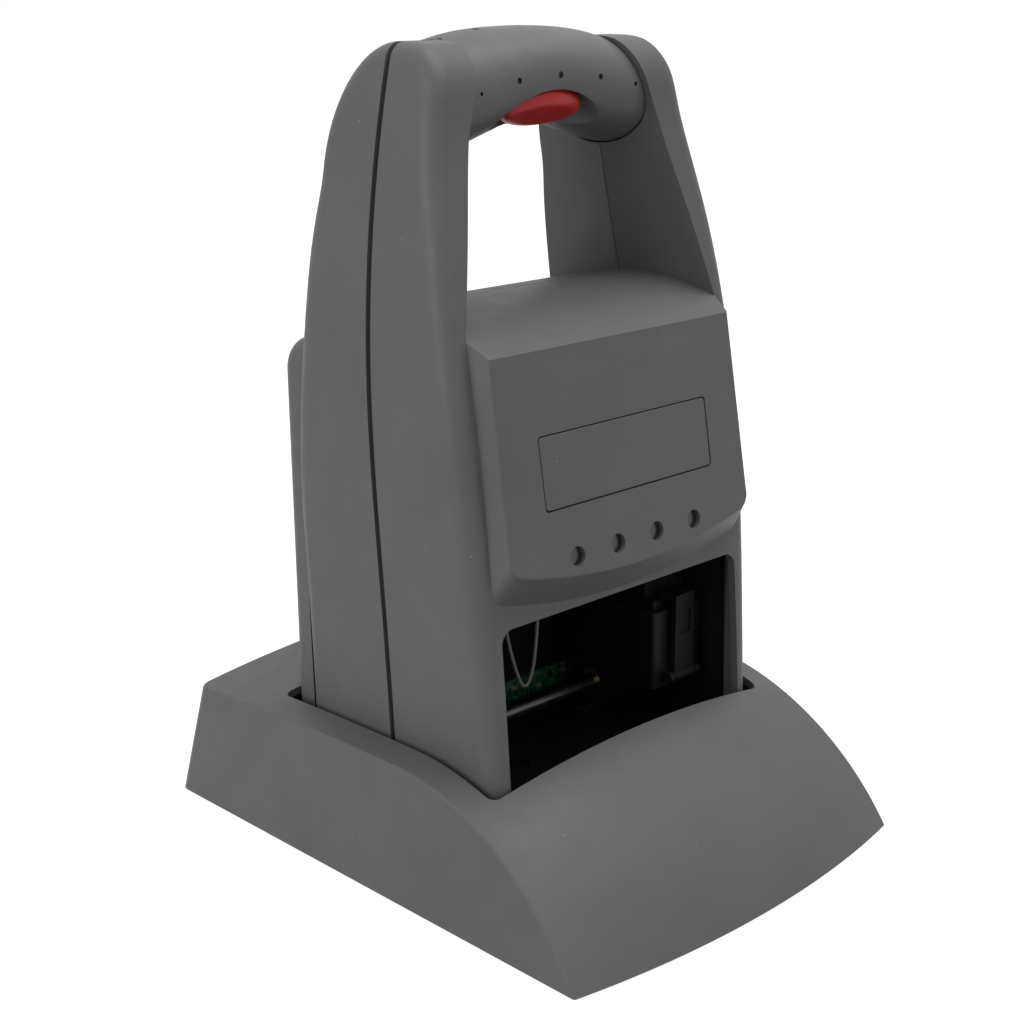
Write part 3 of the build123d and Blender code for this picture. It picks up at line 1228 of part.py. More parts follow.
with BuildPart() as carriage:
    with BuildSketch(Plane.XY.offset(CARRIAGE_FLOOR_Z)):
        with Locations((CARRIAGE_X, CARRIAGE_MIDDLE_Y)):
            RectangleRounded(CARRIAGE_WIDTH, CARRIAGE_DEPTH, 1.5)
    extrude(amount=CARRIAGE_TOP - CARRIAGE_FLOOR_Z)
    with BuildSketch(Plane.XY.offset(BLOCK_BASE_Z)):
        with Locations((CARRIAGE_X, ROD_Y)):
            Rectangle(CARRIAGE_WIDTH, 11)
    extrude(amount=CARRIAGE_FLOOR_Z - BLOCK_BASE_Z)
    with BuildSketch(Plane.XY.offset(CARRIAGE_FLOOR_Z + CARRIAGE_WALL)):
        with Locations((CARRIAGE_X, CARRIAGE_MIDDLE_Y)):
            Rectangle(CARRIAGE_WIDTH - 2 * CARRIAGE_WALL, CARRIAGE_DEPTH - 2 * CARRIAGE_WALL)
    extrude(amount=REACH, mode=Mode.SUBTRACT)
    with BuildSketch(Plane.XY.offset(CARRIAGE_FLOOR_Z - 1)):
        with Locations((CARRIAGE_X, (SNOUT_FRONT + SNOUT_BACK) / 2)):
            Rectangle(15 + SEAT, SNOUT_BACK - SNOUT_FRONT + SEAT)
    extrude(amount=REACH, mode=Mode.SUBTRACT)
    with BuildSketch(Plane.YZ.offset(CARRIAGE_LEFT - 1)):
        with Locations((ROD_Y, ROD_Z)):
            Circle(BUSHING_RADIUS)
    extrude(amount=CARRIAGE_WIDTH + 2, mode=Mode.SUBTRACT)
    for x in (CARRIAGE_X - LATCH_WIDTH / 2 - FIT - 2, CARRIAGE_X + LATCH_WIDTH / 2 + FIT):
        with BuildSketch(Plane.YZ.offset(x)):
            with Locations((HINGE_Y, HINGE_Z)):
                Circle(HINGE_BARREL)
            with Locations(((HINGE_Y + CARRIAGE_FRONT + 0.5) / 2, HINGE_Z)):
                Rectangle(CARRIAGE_FRONT + 0.5 - HINGE_Y, 2 * HINGE_BARREL)
        extrude(amount=2)
    with BuildSketch(Plane.YZ.offset(CARRIAGE_X - LATCH_WIDTH / 2 - FIT - 1)):
        with Locations((HINGE_Y, HINGE_Z)):
            Circle(HINGE_PIN)
    extrude(amount=LATCH_WIDTH + 2 * FIT + 2)
save(carriage, "carriage")

with BuildPart() as carriage_bushings:
    for x in (CARRIAGE_LEFT, CARRIAGE_RIGHT - 6):
        with BuildSketch(Plane.YZ.offset(x)):
            with Locations((ROD_Y, ROD_Z)):
                Circle(BUSHING_RADIUS - RUNNING / 2)
                Circle(ROD_RADIUS + RUNNING, mode=Mode.SUBTRACT)
        extrude(amount=6)
save(carriage_bushings, "carriage_bushings")

with BuildPart() as belt_clamp:
    with BuildSketch(Plane.YZ.offset(CARRIAGE_X - CLAMP_WIDTH / 2)):
        with Locations((CARRIAGE_BACK, CLAMP_Z)):
            Rectangle(
                2 * (BELT_FRONT + BELT_WIDTH + FIT - CARRIAGE_BACK),
                BELT_THICKNESS + 2 * RUNNING + 2 * CLAMP_WALL,
            )
        with Locations((CARRIAGE_BACK - REACH / 2, CLAMP_Z)):
            Rectangle(REACH, REACH, mode=Mode.SUBTRACT)
        with Locations((BELT_FRONT - FIT + REACH / 2, CLAMP_Z)):
            Rectangle(REACH, BELT_THICKNESS + 4 * RUNNING, mode=Mode.SUBTRACT)
    extrude(amount=CLAMP_WIDTH)
save(belt_clamp, "belt_clamp")

with BuildPart() as ink_cartridge:
    with BuildSketch(Plane.XY.offset(CARRIAGE_FLOOR_Z + CARRIAGE_WALL)):
        with Locations((CARRIAGE_X, (CARTRIDGE_FRONT + CARTRIDGE_BACK) / 2)):
            RectangleRounded(CARTRIDGE_WIDTH, CARTRIDGE_BACK - CARTRIDGE_FRONT, 0.8)
    extrude(amount=CARTRIDGE_TOP - CARRIAGE_FLOOR_Z - CARRIAGE_WALL)
    fillet(ink_cartridge.faces().sort_by(Axis.Z)[-1].edges(), 0.7)
    with BuildSketch(Plane.XY.offset(CARTRIDGE_STEP_Z)):
        with Locations((CARRIAGE_X, CARTRIDGE_FRONT)):
            Rectangle(REACH, 8)
    extrude(amount=REACH, mode=Mode.SUBTRACT)
    with BuildSketch(Plane.XY.offset(NOZZLE_Z + 0.5)):
        with Locations((CARRIAGE_X, (SNOUT_FRONT + SNOUT_BACK) / 2)):
            Rectangle(15, SNOUT_BACK - SNOUT_FRONT)
    extrude(amount=CARRIAGE_FLOOR_Z + CARRIAGE_WALL + 1 - NOZZLE_Z - 0.5)
save(ink_cartridge, "ink_cartridge")

with BuildPart() as nozzle_plate:
    with BuildSketch(Plane.XY.offset(NOZZLE_Z)):
        with Locations((CARRIAGE_X, (SNOUT_FRONT + SNOUT_BACK) / 2)):
            Rectangle(13, SNOUT_BACK - SNOUT_FRONT - 1)
    extrude(amount=0.5)
save(nozzle_plate, "nozzle_plate")

with BuildPart() as cartridge_latch:
    with BuildSketch(Plane.YZ.offset(CARRIAGE_X - LATCH_WIDTH / 2)):
        with Locations((HINGE_Y, (HINGE_Z + LATCH_TOP) / 2)):
            Rectangle(1.8, LATCH_TOP - HINGE_Z)
        with Locations((HINGE_Y, HINGE_Z)):
            Circle(HINGE_BARREL)
        with Locations(((HINGE_Y - 0.9 + CARTRIDGE_FRONT + 2.4) / 2, LATCH_TOP - 0.85)):
            Rectangle(CARTRIDGE_FRONT + 2.4 - HINGE_Y + 0.9, 1.7)
        with Locations((HINGE_Y, HINGE_Z)):
            Circle(HINGE_PIN + RUNNING, mode=Mode.SUBTRACT)
    extrude(amount=LATCH_WIDTH)
    with BuildSketch(Plane.XZ.offset(-(HINGE_Y - 0.9))):
        with Locations((CARRIAGE_X, 62)):
            RectangleRounded(5, 8, 1)
    extrude(amount=-0.5, mode=Mode.SUBTRACT)
save(cartridge_latch, "cartridge_latch")

# Battery pack
TERMINAL_X = (-7.5, -2.5, 2.5, 7.5)
TERMINAL_WIDTH = 2.8
CONTACT_FACE_Y = 39.1        # the housing's back where the contacts are

with BuildPart() as battery_pack:
    with BuildSketch(Plane.YZ.offset(-BATTERY_HALF)) as pack_side:
        with BuildLine():
            Polyline(
                (20, BATTERY_BASE),
                (BATTERY_BACK, BATTERY_BASE),
                (BATTERY_BACK, BATTERY_TOP),
                (20, BATTERY_TOP),
                close=True,
            )
        make_face()
        back_corners = pack_side.vertices().group_by(Axis.X)[-1].sort_by(Axis.Y)
        fillet(back_corners[-1], BATTERY_SHOULDER)
        chamfer(back_corners[0], 1)
    extrude(amount=2 * BATTERY_HALF)
    side_edges = battery_pack.edges().filter_by(lambda e: abs(e.center().X) > BATTERY_HALF - 0.1)
    back_edges = side_edges.filter_by(lambda e: e.center().Y > 30)
    fillet(back_edges, BATTERY_CORNER)
    clear_of_body = body_form(-FIT, BODY_BASE - 5)
    for lift in (0, BATTERY_TRAVEL / 2, BATTERY_TRAVEL):
        add(clear_of_body.moved(Location((0, 0, -lift))), mode=Mode.SUBTRACT)
    for side in (-1, 1):
        with BuildSketch(Plane.XY.offset(BATTERY_BASE - 1)):
            with Locations((side * BATTERY_RAIL_X, REAR_LINE[0][0])):
                Rectangle(BATTERY_RAIL_WIDTH + 2 * FIT, 2 * (BATTERY_RAIL_DEPTH + 3 * FIT))
        extrude(amount=BATTERY_RAIL_Z[1] - BATTERY_BASE + 1 + FIT, mode=Mode.SUBTRACT)
    with BuildSketch(Plane.XZ.offset(-20)):
        with Locations(*[(x, CONTACT_Z) for x in TERMINAL_X]):
            Rectangle(TERMINAL_WIDTH, CONTACT_HEIGHT - 1)
    extrude(amount=-(CONTACT_FACE_Y + 1.3 - 20), mode=Mode.SUBTRACT)
save(battery_pack, "battery_pack")

with BuildPart() as battery_terminals:
    with BuildSketch(Plane.XZ.offset(-(CONTACT_FACE_Y + 0.6))):
        with Locations(*[(x, CONTACT_Z) for x in TERMINAL_X]):
            Rectangle(TERMINAL_WIDTH, CONTACT_HEIGHT - 1)
    extrude(amount=-0.7)
save(battery_terminals, "battery_terminals")

with BuildPart() as battery_contacts:
    with BuildSketch(Plane.XZ.offset(-(CONTACT_FACE_Y - 5))):
        with Locations((0, CONTACT_Z)):
            Rectangle(2 * (CONTACT_HALF - SEAT / 2), CONTACT_HEIGHT - SEAT)
    extrude(amount=-4)
    with BuildSketch(Plane.XZ.offset(-(CONTACT_FACE_Y - 1.5))):
        with Locations(*[(x, CONTACT_Z) for x in TERMINAL_X]):
            Rectangle(TERMINAL_WIDTH - 1, CONTACT_HEIGHT - 3)
    extrude(amount=-1.4)
    with BuildSketch(Plane.XZ.offset(-(MAIN_BOARD_Y + BOARD))):
        with Locations((0, CONTACT_Z)):
            Rectangle(2 * CONTACT_HALF - 4, CONTACT_HEIGHT - 2)
    extrude(amount=-(CONTACT_FACE_Y - 5 - MAIN_BOARD_Y - BOARD))
save(battery_contacts, "battery_contacts")
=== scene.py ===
"""Finishes, small fittings, light and camera for a handheld inkjet printer in its docking base.

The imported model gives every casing, board, shaft and screw its place. This script dresses them in
moulded plastic, steel, brass and rubber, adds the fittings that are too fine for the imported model,
and sets the studio and the camera. Lengths are in metres, and MM turns millimetres into them.
"""

import logging
import math
from dataclasses import dataclass, field
from enum import Enum

import bmesh
import bpy
from mathutils import Matrix, Vector


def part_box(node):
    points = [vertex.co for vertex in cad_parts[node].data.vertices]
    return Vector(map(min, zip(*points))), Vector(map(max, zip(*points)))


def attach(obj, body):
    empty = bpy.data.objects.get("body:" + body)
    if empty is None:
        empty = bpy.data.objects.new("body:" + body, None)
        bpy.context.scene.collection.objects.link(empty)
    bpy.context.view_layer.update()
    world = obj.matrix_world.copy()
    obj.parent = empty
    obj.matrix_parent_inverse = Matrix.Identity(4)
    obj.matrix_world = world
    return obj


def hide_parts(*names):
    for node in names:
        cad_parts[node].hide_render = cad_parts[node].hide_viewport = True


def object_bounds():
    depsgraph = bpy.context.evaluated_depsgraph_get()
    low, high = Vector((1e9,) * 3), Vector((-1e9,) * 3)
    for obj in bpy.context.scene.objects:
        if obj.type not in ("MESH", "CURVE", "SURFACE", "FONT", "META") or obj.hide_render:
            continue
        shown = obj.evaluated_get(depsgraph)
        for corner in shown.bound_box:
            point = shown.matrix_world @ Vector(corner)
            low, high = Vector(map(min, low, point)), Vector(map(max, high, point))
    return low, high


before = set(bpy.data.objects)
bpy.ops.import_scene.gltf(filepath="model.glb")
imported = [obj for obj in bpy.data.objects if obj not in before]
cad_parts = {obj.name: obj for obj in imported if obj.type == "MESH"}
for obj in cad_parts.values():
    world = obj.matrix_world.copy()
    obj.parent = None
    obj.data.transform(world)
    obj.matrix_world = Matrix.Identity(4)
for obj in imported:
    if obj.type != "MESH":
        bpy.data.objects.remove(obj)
CAD_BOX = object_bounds()
MM = 0.001

log = logging.getLogger("printer")

Colour = tuple[float, float, float]
Point = tuple[float, float, float]
Span = tuple[float, float]
Socket = bpy.types.NodeSocket

# nearly all values of a noise lie between these two
NOISE: Span = (0.3, 0.7)
WHOLE: Span = (0.0, 1.0)


class Body(Enum):
    """The moving group that the added pieces ride on."""

    PRINTER = "printer"


class Slot(Enum):
    """The record's material slots."""

    RUBBER = "rubber_black"
    BOARD = "board_green"
    CABLE = "cable_grey"


class Graph:
    """The node tree of one material, with short ways to add nodes and join them."""

    # a mix node's colour sockets, whose names its other sockets have too
    MIX_FIRST, MIX_SECOND, MIX_RESULT = 6, 7, 2

    def __init__(self, name: str) -> None:
        """Starts an empty material with an output and a Principled shader.

        Args:
            name: The material's name.
        """
        self.material = bpy.data.materials.new(name)
        self.material.use_nodes = True
        self.tree = self.material.node_tree
        self.tree.nodes.clear()
        self.output = self.tree.nodes.new("ShaderNodeOutputMaterial")
        self.shader = self.tree.nodes.new("ShaderNodeBsdfPrincipled")
        self.join(self.shader.outputs[0], self.output.inputs["Surface"])
        self.place = self.tree.nodes.new("ShaderNodeTexCoord").outputs["Object"]

    def join(self, source: Socket, target: Socket) -> None:
        """Links one socket to another."""
        self.tree.links.new(source, target)

    def colour(self, source: Socket) -> None:
        """Gives the surface its colour."""
        self.join(source, self.shader.inputs["Base Color"])

    def roughness(self, source: Socket) -> None:
        """Gives the surface its roughness."""
        self.join(source, self.shader.inputs["Roughness"])

    def set(self, **values: float | Colour) -> None:
        """Sets constants on the shader's own sockets.

        Args:
            values: One value for each socket, whose name has underscores for its spaces.
        """
        for key, value in values.items():
            socket = self.shader.inputs[key.replace("_", " ")]
            socket.default_value = (*value, 1.0) if isinstance(value, tuple) else value

    def noise(self, size: float, detail: float = 2.0, stretch: Point = (1, 1, 1)) -> Socket:
        """Cloudy noise whose lumps are about size across.

        Args:
            size: Width of a lump in metres.
            detail: Number of finer layers.
            stretch: Scale of the coordinates along x, y and z; smaller is longer.

        Returns:
            The factor output, from 0 to 1 round 0.5.
        """
        scale = self.tree.nodes.new("ShaderNodeMapping")
        scale.inputs["Scale"].default_value = stretch
        self.join(self.place, scale.inputs["Vector"])
        node = self.tree.nodes.new("ShaderNodeTexNoise")
        node.inputs["Scale"].default_value = 1.0 / size
        node.inputs["Detail"].default_value = detail
        self.join(scale.outputs[0], node.inputs["Vector"])
        return node.outputs["Fac"]

    def cells(self, size: float, randomness: float = 1.0) -> bpy.types.Node:
        """Scattered cells about size across.

        Args:
            size: Width of a cell in metres.
            randomness: From 0 for a regular grid to 1.

        Returns:
            The node, with the outputs Distance and Color.
        """
        node = self.tree.nodes.new("ShaderNodeTexVoronoi")
        node.inputs["Scale"].default_value = 1.0 / size
        node.inputs["Randomness"].default_value = randomness
        self.join(self.place, node.inputs["Vector"])
        return node

    def remap(self, source: Socket, span: Span, result: Span = WHOLE) -> Socket:
        """Stretches a value from one range to another and clamps it there.

        Args:
            source: The value.
            span: Start and end of the range that is read.
            result: What the start and the end become.

        Returns:
            The output socket.
        """
        node = self.tree.nodes.new("ShaderNodeMapRange")
        for key, value in zip(("From Min", "From Max", "To Min", "To Max"), (*span, *result)):
            node.inputs[key].default_value = value
        self.join(source, node.inputs["Value"])
        return node.outputs[0]

    def times(self, first: Socket, second: Socket) -> Socket:
        """Multiplies two values.

        Args:
            first: One value.
            second: The other.

        Returns:
            The socket that carries their product.
        """
        node = self.tree.nodes.new("ShaderNodeMath")
        node.operation = "MULTIPLY"
        self.join(first, node.inputs[0])
        self.join(second, node.inputs[1])
        return node.outputs[0]

    def mix(self, factor: Socket, first: Colour | Socket, second: Colour) -> Socket:
        """Mixes two colours by a factor.

        Args:
            factor: How much of the second colour shows.
            first: A colour, or the socket that carries one.
            second: The other colour.

        Returns:
            The colour output socket.
        """
        node = self.tree.nodes.new("ShaderNodeMix")
        node.data_type = "RGBA"
        self.join(factor, node.inputs[0])
        if isinstance(first, tuple):
            node.inputs[self.MIX_FIRST].default_value = (*first, 1.0)
        else:
            self.join(first, node.inputs[self.MIX_FIRST])
        node.inputs[self.MIX_SECOND].default_value = (*second, 1.0)
        return node.outputs[self.MIX_RESULT]

    def bump(self, height: Socket, depth: float) -> None:
        """Adds relief to the surface.

        Args:
            height: The relief, from 0 to 1.
            depth: Its real depth in metres.
        """
        node = self.tree.nodes.new("ShaderNodeBump")
        node.inputs["Distance"].default_value = depth
        self.join(height, node.inputs["Height"])
        self.join(node.outputs[0], self.shader.inputs["Normal"])


def shade(colour: Colour, factor: float) -> Colour:
    """The same colour, darker or lighter by a factor."""
    return tuple(min(channel * factor, 1.0) for channel in colour)


@dataclass(frozen=True)
class Finish:
    """What each finish has: a name, a colour and a roughness."""

    name: str
    colour: Colour
    roughness: float

    def build(self) -> bpy.types.Material:
        """Makes the material.

        Returns:
            The new material.
        """
        graph = Graph(self.name)
        graph.set(Base_Color=self.colour, Roughness=self.roughness)
        self.dress(graph)
        return graph.material

    def dress(self, graph: Graph) -> None:
        """Adds this finish's own detail to the tree."""
        raise NotImplementedError


@dataclass(frozen=True)
class SparkedPlastic(Finish):
    """Moulded plastic with the fine pitted grain of an eroded mould, a little mottled and dusty."""

    grain: float = 0.45 * MM
    depth: float = 0.022 * MM
    sheen: float = 0.3
    patch: float = 28 * MM
    mottle: float = 0.05
    fleck_span: Span = (0.52, 0.78)
    fleck_share: float = 0.35
    fleck_tone: float = 1.35
    dust_spacing: float = 5.5 * MM
    dust_span: Span = (0.035, 0.047)
    dust_chosen: Span = (0.66, 0.7)
    dust_share: float = 0.55
    dust_colour: Colour = (0.32, 0.32, 0.31)
    wear: float = 9 * MM
    uneven: float = 0.05

    def dress(self, graph: Graph) -> None:
        """Grain in relief, soft patches of tone, and specks of dust.

        Args:
            graph: The material's tree.
        """
        graph.set(Specular_IOR_Level=self.sheen)
        patches = graph.remap(graph.noise(self.patch, detail=3), NOISE)
        dark, light = shade(self.colour, 1 - self.mottle), shade(self.colour, 1 + self.mottle)
        base = graph.mix(patches, dark, light)
        grain = graph.noise(self.grain)
        flecks = graph.remap(grain, self.fleck_span, (0.0, self.fleck_share))
        flecked = graph.mix(flecks, base, shade(self.colour, self.fleck_tone))
        cells = graph.cells(self.dust_spacing)
        near = graph.remap(cells.outputs["Distance"], self.dust_span, (1.0, 0.0))
        chosen = graph.remap(cells.outputs["Color"], self.dust_chosen, (0.0, self.dust_share))
        graph.colour(graph.mix(graph.times(near, chosen), flecked, self.dust_colour))
        worn = graph.noise(self.wear, detail=3)
        limits = (self.roughness - self.uneven, self.roughness + self.uneven)
        graph.roughness(graph.remap(worn, NOISE, limits))
        graph.bump(grain, self.depth)


@dataclass(frozen=True)
class SmoothPlastic(Finish):
    """Plain moulded plastic with faint flow marks."""

    wave: float = 6 * MM
    stretch: Point = (1, 1, 0.4)
    mottle: float = 0.1
    uneven: float = 0.15
    sheen: float = 0.5
    grain: float = 0.5 * MM
    depth: float = 0.012 * MM

    def dress(self, graph: Graph) -> None:
        """Faint waves in tone, gloss and height.

        Args:
            graph: The material's tree.
        """
        graph.set(Specular_IOR_Level=self.sheen)
        flow = graph.noise(self.wave, stretch=self.stretch)
        dark, light = shade(self.colour, 1 - self.mottle), shade(self.colour, 1 + self.mottle)
        graph.colour(graph.mix(graph.remap(flow, NOISE), dark, light))
        limits = (self.roughness * (1 - self.uneven), self.roughness * (1 + self.uneven))
        graph.roughness(graph.remap(flow, NOISE, limits))
        graph.bump(graph.noise(self.grain), self.depth)


@dataclass(frozen=True)
class SoftRubber(Finish):
    """Matt rubber with a powdery grain."""

    bloom: float = 4 * MM
    bloom_span: Span = (0.4, 0.75)
    bloom_share: float = 0.5
    bloom_tone: float = 2.2
    grain: float = 0.3 * MM
    depth: float = 0.02 * MM

    def dress(self, graph: Graph) -> None:
        """A powdery bloom over the colour and a fine grain.

        Args:
            graph: The material's tree.
        """
        clouds = graph.noise(self.bloom, detail=4)
        bloom = graph.remap(clouds, self.bloom_span, (0.0, self.bloom_share))
        graph.colour(graph.mix(bloom, self.colour, shade(self.colour, self.bloom_tone)))
        graph.bump(graph.noise(self.grain, detail=3), self.depth)


@dataclass(frozen=True)
class DrawnMetal(Finish):
    """Bare or plated metal with drawing marks along one direction."""

    along: Point = (0.05, 1, 1)
    depth: float = 0.006 * MM
    mark: float = 0.25 * MM
    gloss: Span = (0.75, 1.3)
    tarnish: float = 5 * MM
    tarnish_span: Span = (0.35, 0.75)
    tarnish_share: float = 0.6
    tarnish_tone: float = 0.7

    def dress(self, graph: Graph) -> None:
        """Long fine marks in height and gloss, and slight tarnish.

        Args:
            graph: The material's tree.
        """
        graph.set(Metallic=1.0)
        marks = graph.noise(self.mark, detail=3, stretch=self.along)
        clouds = graph.noise(self.tarnish, detail=3)
        tarnish = graph.remap(clouds, self.tarnish_span, (0.0, self.tarnish_share))
        graph.colour(graph.mix(tarnish, self.colour, shade(self.colour, self.tarnish_tone)))
        limits = (self.roughness * self.gloss[0], self.roughness * self.gloss[1])
        graph.roughness(graph.remap(marks, NOISE, limits))
        graph.bump(marks, self.depth)


@dataclass(frozen=True)
class CoatedSteel(Finish):
    """Sheet steel under a thin dark coat."""

    peel: float = 0.9 * MM
    depth: float = 0.015 * MM
    sheen: float = 0.18
    uneven: Span = (-0.06, 0.08)

    def dress(self, graph: Graph) -> None:
        """The faint dimples of a sprayed coat.

        Args:
            graph: The material's tree.
        """
        graph.set(Specular_IOR_Level=self.sheen)
        orange_peel = graph.noise(self.peel, detail=1)
        limits = (self.roughness + self.uneven[0], self.roughness + self.uneven[1])
        graph.roughness(graph.remap(orange_peel, NOISE, limits))
        graph.bump(orange_peel, self.depth)


@dataclass(frozen=True)
class SolderMask(Finish):
    """A circuit board's green lacquer over copper tracks."""

    pitch: float = 2.4 * MM
    randomness: float = 0.75
    track_span: Span = (0.05, 0.09)
    track_colour: Colour = (0.05, 0.2, 0.09)
    depth: float = 0.03 * MM
    coat: float = 0.5
    coat_roughness: float = 0.2

    def dress(self, graph: Graph) -> None:
        """Straight tracks that show through the lacquer, a little raised.

        Args:
            graph: The material's tree.
        """
        cells = graph.cells(self.pitch, self.randomness)
        cells.feature = "DISTANCE_TO_EDGE"
        lines = graph.remap(cells.outputs["Distance"], self.track_span, (1.0, 0.0))
        graph.colour(graph.mix(lines, self.colour, self.track_colour))
        graph.set(Coat_Weight=self.coat, Coat_Roughness=self.coat_roughness)
        graph.bump(lines, self.depth)


@dataclass(frozen=True)
class TriggerPlastic(Finish):
    """Red plastic, polished by fingers, with a sparse grain."""

    sheen: float = 0.35
    fade: float = 9 * MM
    fade_span: Span = (0.3, 0.75)
    fade_share: float = 0.35
    fade_colour: Colour = (0.56, 0.045, 0.03)
    wear: float = 3 * MM
    uneven: float = 0.07
    grain: float = 0.4 * MM
    depth: float = 0.012 * MM

    def dress(self, graph: Graph) -> None:
        """Slight fading towards orange and a satin grain.

        Args:
            graph: The material's tree.
        """
        graph.set(Specular_IOR_Level=self.sheen)
        faded = graph.remap(graph.noise(self.fade), self.fade_span, (0.0, self.fade_share))
        graph.colour(graph.mix(faded, self.colour, self.fade_colour))
        limits = (self.roughness - self.uneven, self.roughness + self.uneven)
        graph.roughness(graph.remap(graph.noise(self.wear, detail=3), NOISE, limits))
        graph.bump(graph.noise(self.grain), self.depth)


@dataclass(frozen=True)
class SmokedLens(Finish):
    """An unlit indicator's smoked lens."""

    haze: float = 1.2 * MM
    haze_tone: float = 1.6
    coat: float = 0.15
    coat_roughness: float = 0.2

    def dress(self, graph: Graph) -> None:
        """Cloudy depth under a clear skin.

        Args:
            graph: The material's tree.
        """
        haze = graph.remap(graph.noise(self.haze), NOISE)
        graph.colour(graph.mix(haze, self.colour, shade(self.colour, self.haze_tone)))
        graph.set(Coat_Weight=self.coat, Coat_Roughness=self.coat_roughness)


CHARCOAL = (0.086, 0.086, 0.0865)


class Finishes(Enum):
    """Every finish on the printer and its base."""

    CASING = SparkedPlastic("casing_plastic", CHARCOAL, 0.52)
    # Painted light: the grip is the same charcoal plastic as the casing, and its colour is lightened
    # by 1.12 to stand in for the brighter light it catches.
    GRIP = SparkedPlastic(
        "grip_plastic", shade(CHARCOAL, 1.12), 0.5, grain=0.5 * MM, depth=0.03 * MM
    )
    # Partly real black plastic and partly painted shade: its colour is darkened to near-black to
    # stand in for the shade inside the window and the pocket.
    INNER = SmoothPlastic("inner_plastic", (0.0042, 0.0042, 0.0048), 0.5, sheen=0.15)
    RUBBER = SoftRubber("feet_rubber", (0.012, 0.012, 0.0125), 0.8)
    # Painted shadow: the near-black fill in the seam between the shells stands in for the shade of
    # the open groove.
    GASKET = SoftRubber("seam_shadow_fill", (0.0015, 0.0015, 0.0016), 0.9)
    ZINC = DrawnMetal("zinc_screws", (0.5, 0.5, 0.51), 0.33, along=(1, 1, 0.05))
    ROD = DrawnMetal("blackened_rod", (0.09, 0.09, 0.095), 0.3)
    CAN = DrawnMetal("motor_can", (0.42, 0.42, 0.43), 0.36, along=(1, 1, 0.08))
    SPRING = DrawnMetal("spring_wire", (0.52, 0.52, 0.52), 0.3, along=(1, 1, 1))
    BRASS = DrawnMetal("gilt_contacts", (0.78, 0.56, 0.24), 0.28, along=(1, 1, 0.3))
    CORE = DrawnMetal("cast_core", (0.55, 0.55, 0.56), 0.5, along=(1, 1, 1), depth=0.02 * MM)
    BOARD = SolderMask("green_board", (0.012, 0.06, 0.026), 0.42)
    SHEET = CoatedSteel("coated_sheet", (0.0045, 0.0045, 0.005), 0.46)
    # Partly a smoked tint and partly painted shade: the lens colour is darkened to stand in for the
    # shade of the recesses the indicators sit in.
    LENS = SmokedLens("smoked_lens_and_painted_shade", (0.012, 0.012, 0.013), 0.25)
    TRIGGER = TriggerPlastic("trigger_plastic", (0.43, 0.011, 0.010), 0.4)
    SHEATH = SmoothPlastic("cable_sheath", (0.022, 0.022, 0.021), 0.5)
    CARTRIDGE = SmoothPlastic("cartridge_case", (0.004, 0.004, 0.0045), 0.5, sheen=0.12)
    CERAMIC = SmoothPlastic("ceramic_parts", (0.30, 0.24, 0.17), 0.45, wave=1 * MM)

    def make(self) -> bpy.types.Material:
        """The material, made once."""
        return bpy.data.materials.get(self.value.name) or self.value.build()


def dress_node(node: str, finish: Finishes) -> None:
    """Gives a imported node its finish.

    Args:
        node: The node's name.
        finish: The finish it gets.
    """
    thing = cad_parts[node]
    for slot in thing.material_slots:
        slot.link = "OBJECT"
        slot.material = finish.make()
    log.info("%s: %s", node, finish.value.name)


def add_mesh(
    name: str, mesh: bmesh.types.BMesh, finishes: list[Finishes], body: Body
) -> bpy.types.Object:
    """Turns a built mesh into a piece that rides on a body.

    Args:
        name: The piece's name.
        mesh: The mesh, which is freed.
        finishes: One finish for each material index that its faces use.
        body: The body it rides on.

    Returns:
        The new object.
    """
    data = bpy.data.meshes.new(name)
    mesh.to_mesh(data)
    mesh.free()
    piece = bpy.data.objects.new(name, data)
    bpy.context.scene.collection.objects.link(piece)
    for finish in finishes:
        data.materials.append(finish.make())
    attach(piece, body.value)
    log.info("%s: %d faces on %s", name, len(data.polygons), body.value)
    return piece


def add_block(
    mesh: bmesh.types.BMesh, low: Point, high: Point, edge: float, index: int = 0
) -> None:
    """Adds a block with softened edges to a mesh.

    Args:
        mesh: The mesh that it joins.
        low: Its lowest corner.
        high: Its highest corner.
        edge: Width of the softened edges.
        index: Material index of its faces.
    """
    size = [b - a for a, b in zip(low, high)]
    middle = Vector([(a + b) / 2 for a, b in zip(low, high)])
    matrix = Matrix.Translation(middle) @ Matrix.Diagonal((*size, 1))
    made = bmesh.ops.create_cube(mesh, size=1.0, matrix=matrix)
    edges = {e for v in made["verts"] for e in v.link_edges}
    before = set(mesh.faces)
    bmesh.ops.bevel(mesh, geom=list(edges), offset=edge, segments=2, affect="EDGES", profile=0.5)
    for face in mesh.faces:
        if face not in before or any(v in made["verts"] for v in face.verts):
            face.material_index = index


@dataclass
class SubAssembly:
    """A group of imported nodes, each with its finish."""

    finishes: dict[str, Finishes]

    def build(self) -> None:
        """Dresses the group's nodes."""
        for node, finish in self.finishes.items():
            dress_node(node, finish)


@dataclass
class DockingBase(SubAssembly):
    """The low crowned base: its shell, pocket, cover, feet, contacts and power socket."""

    finishes: dict[str, Finishes] = field(
        default_factory=lambda: {
            "dock_shell": Finishes.CASING,
            "dock_pocket": Finishes.INNER,
            "dock_bottom_cover": Finishes.CASING,
            "dock_feet": Finishes.RUBBER,
            "dock_screws": Finishes.ZINC,
            "dock_board": Finishes.BOARD,
            "dock_contact_block": Finishes.INNER,
            "dock_contact_pins": Finishes.BRASS,
            "dock_power_socket": Finishes.INNER,
            "nozzle_cap": Finishes.RUBBER,
        }
    )


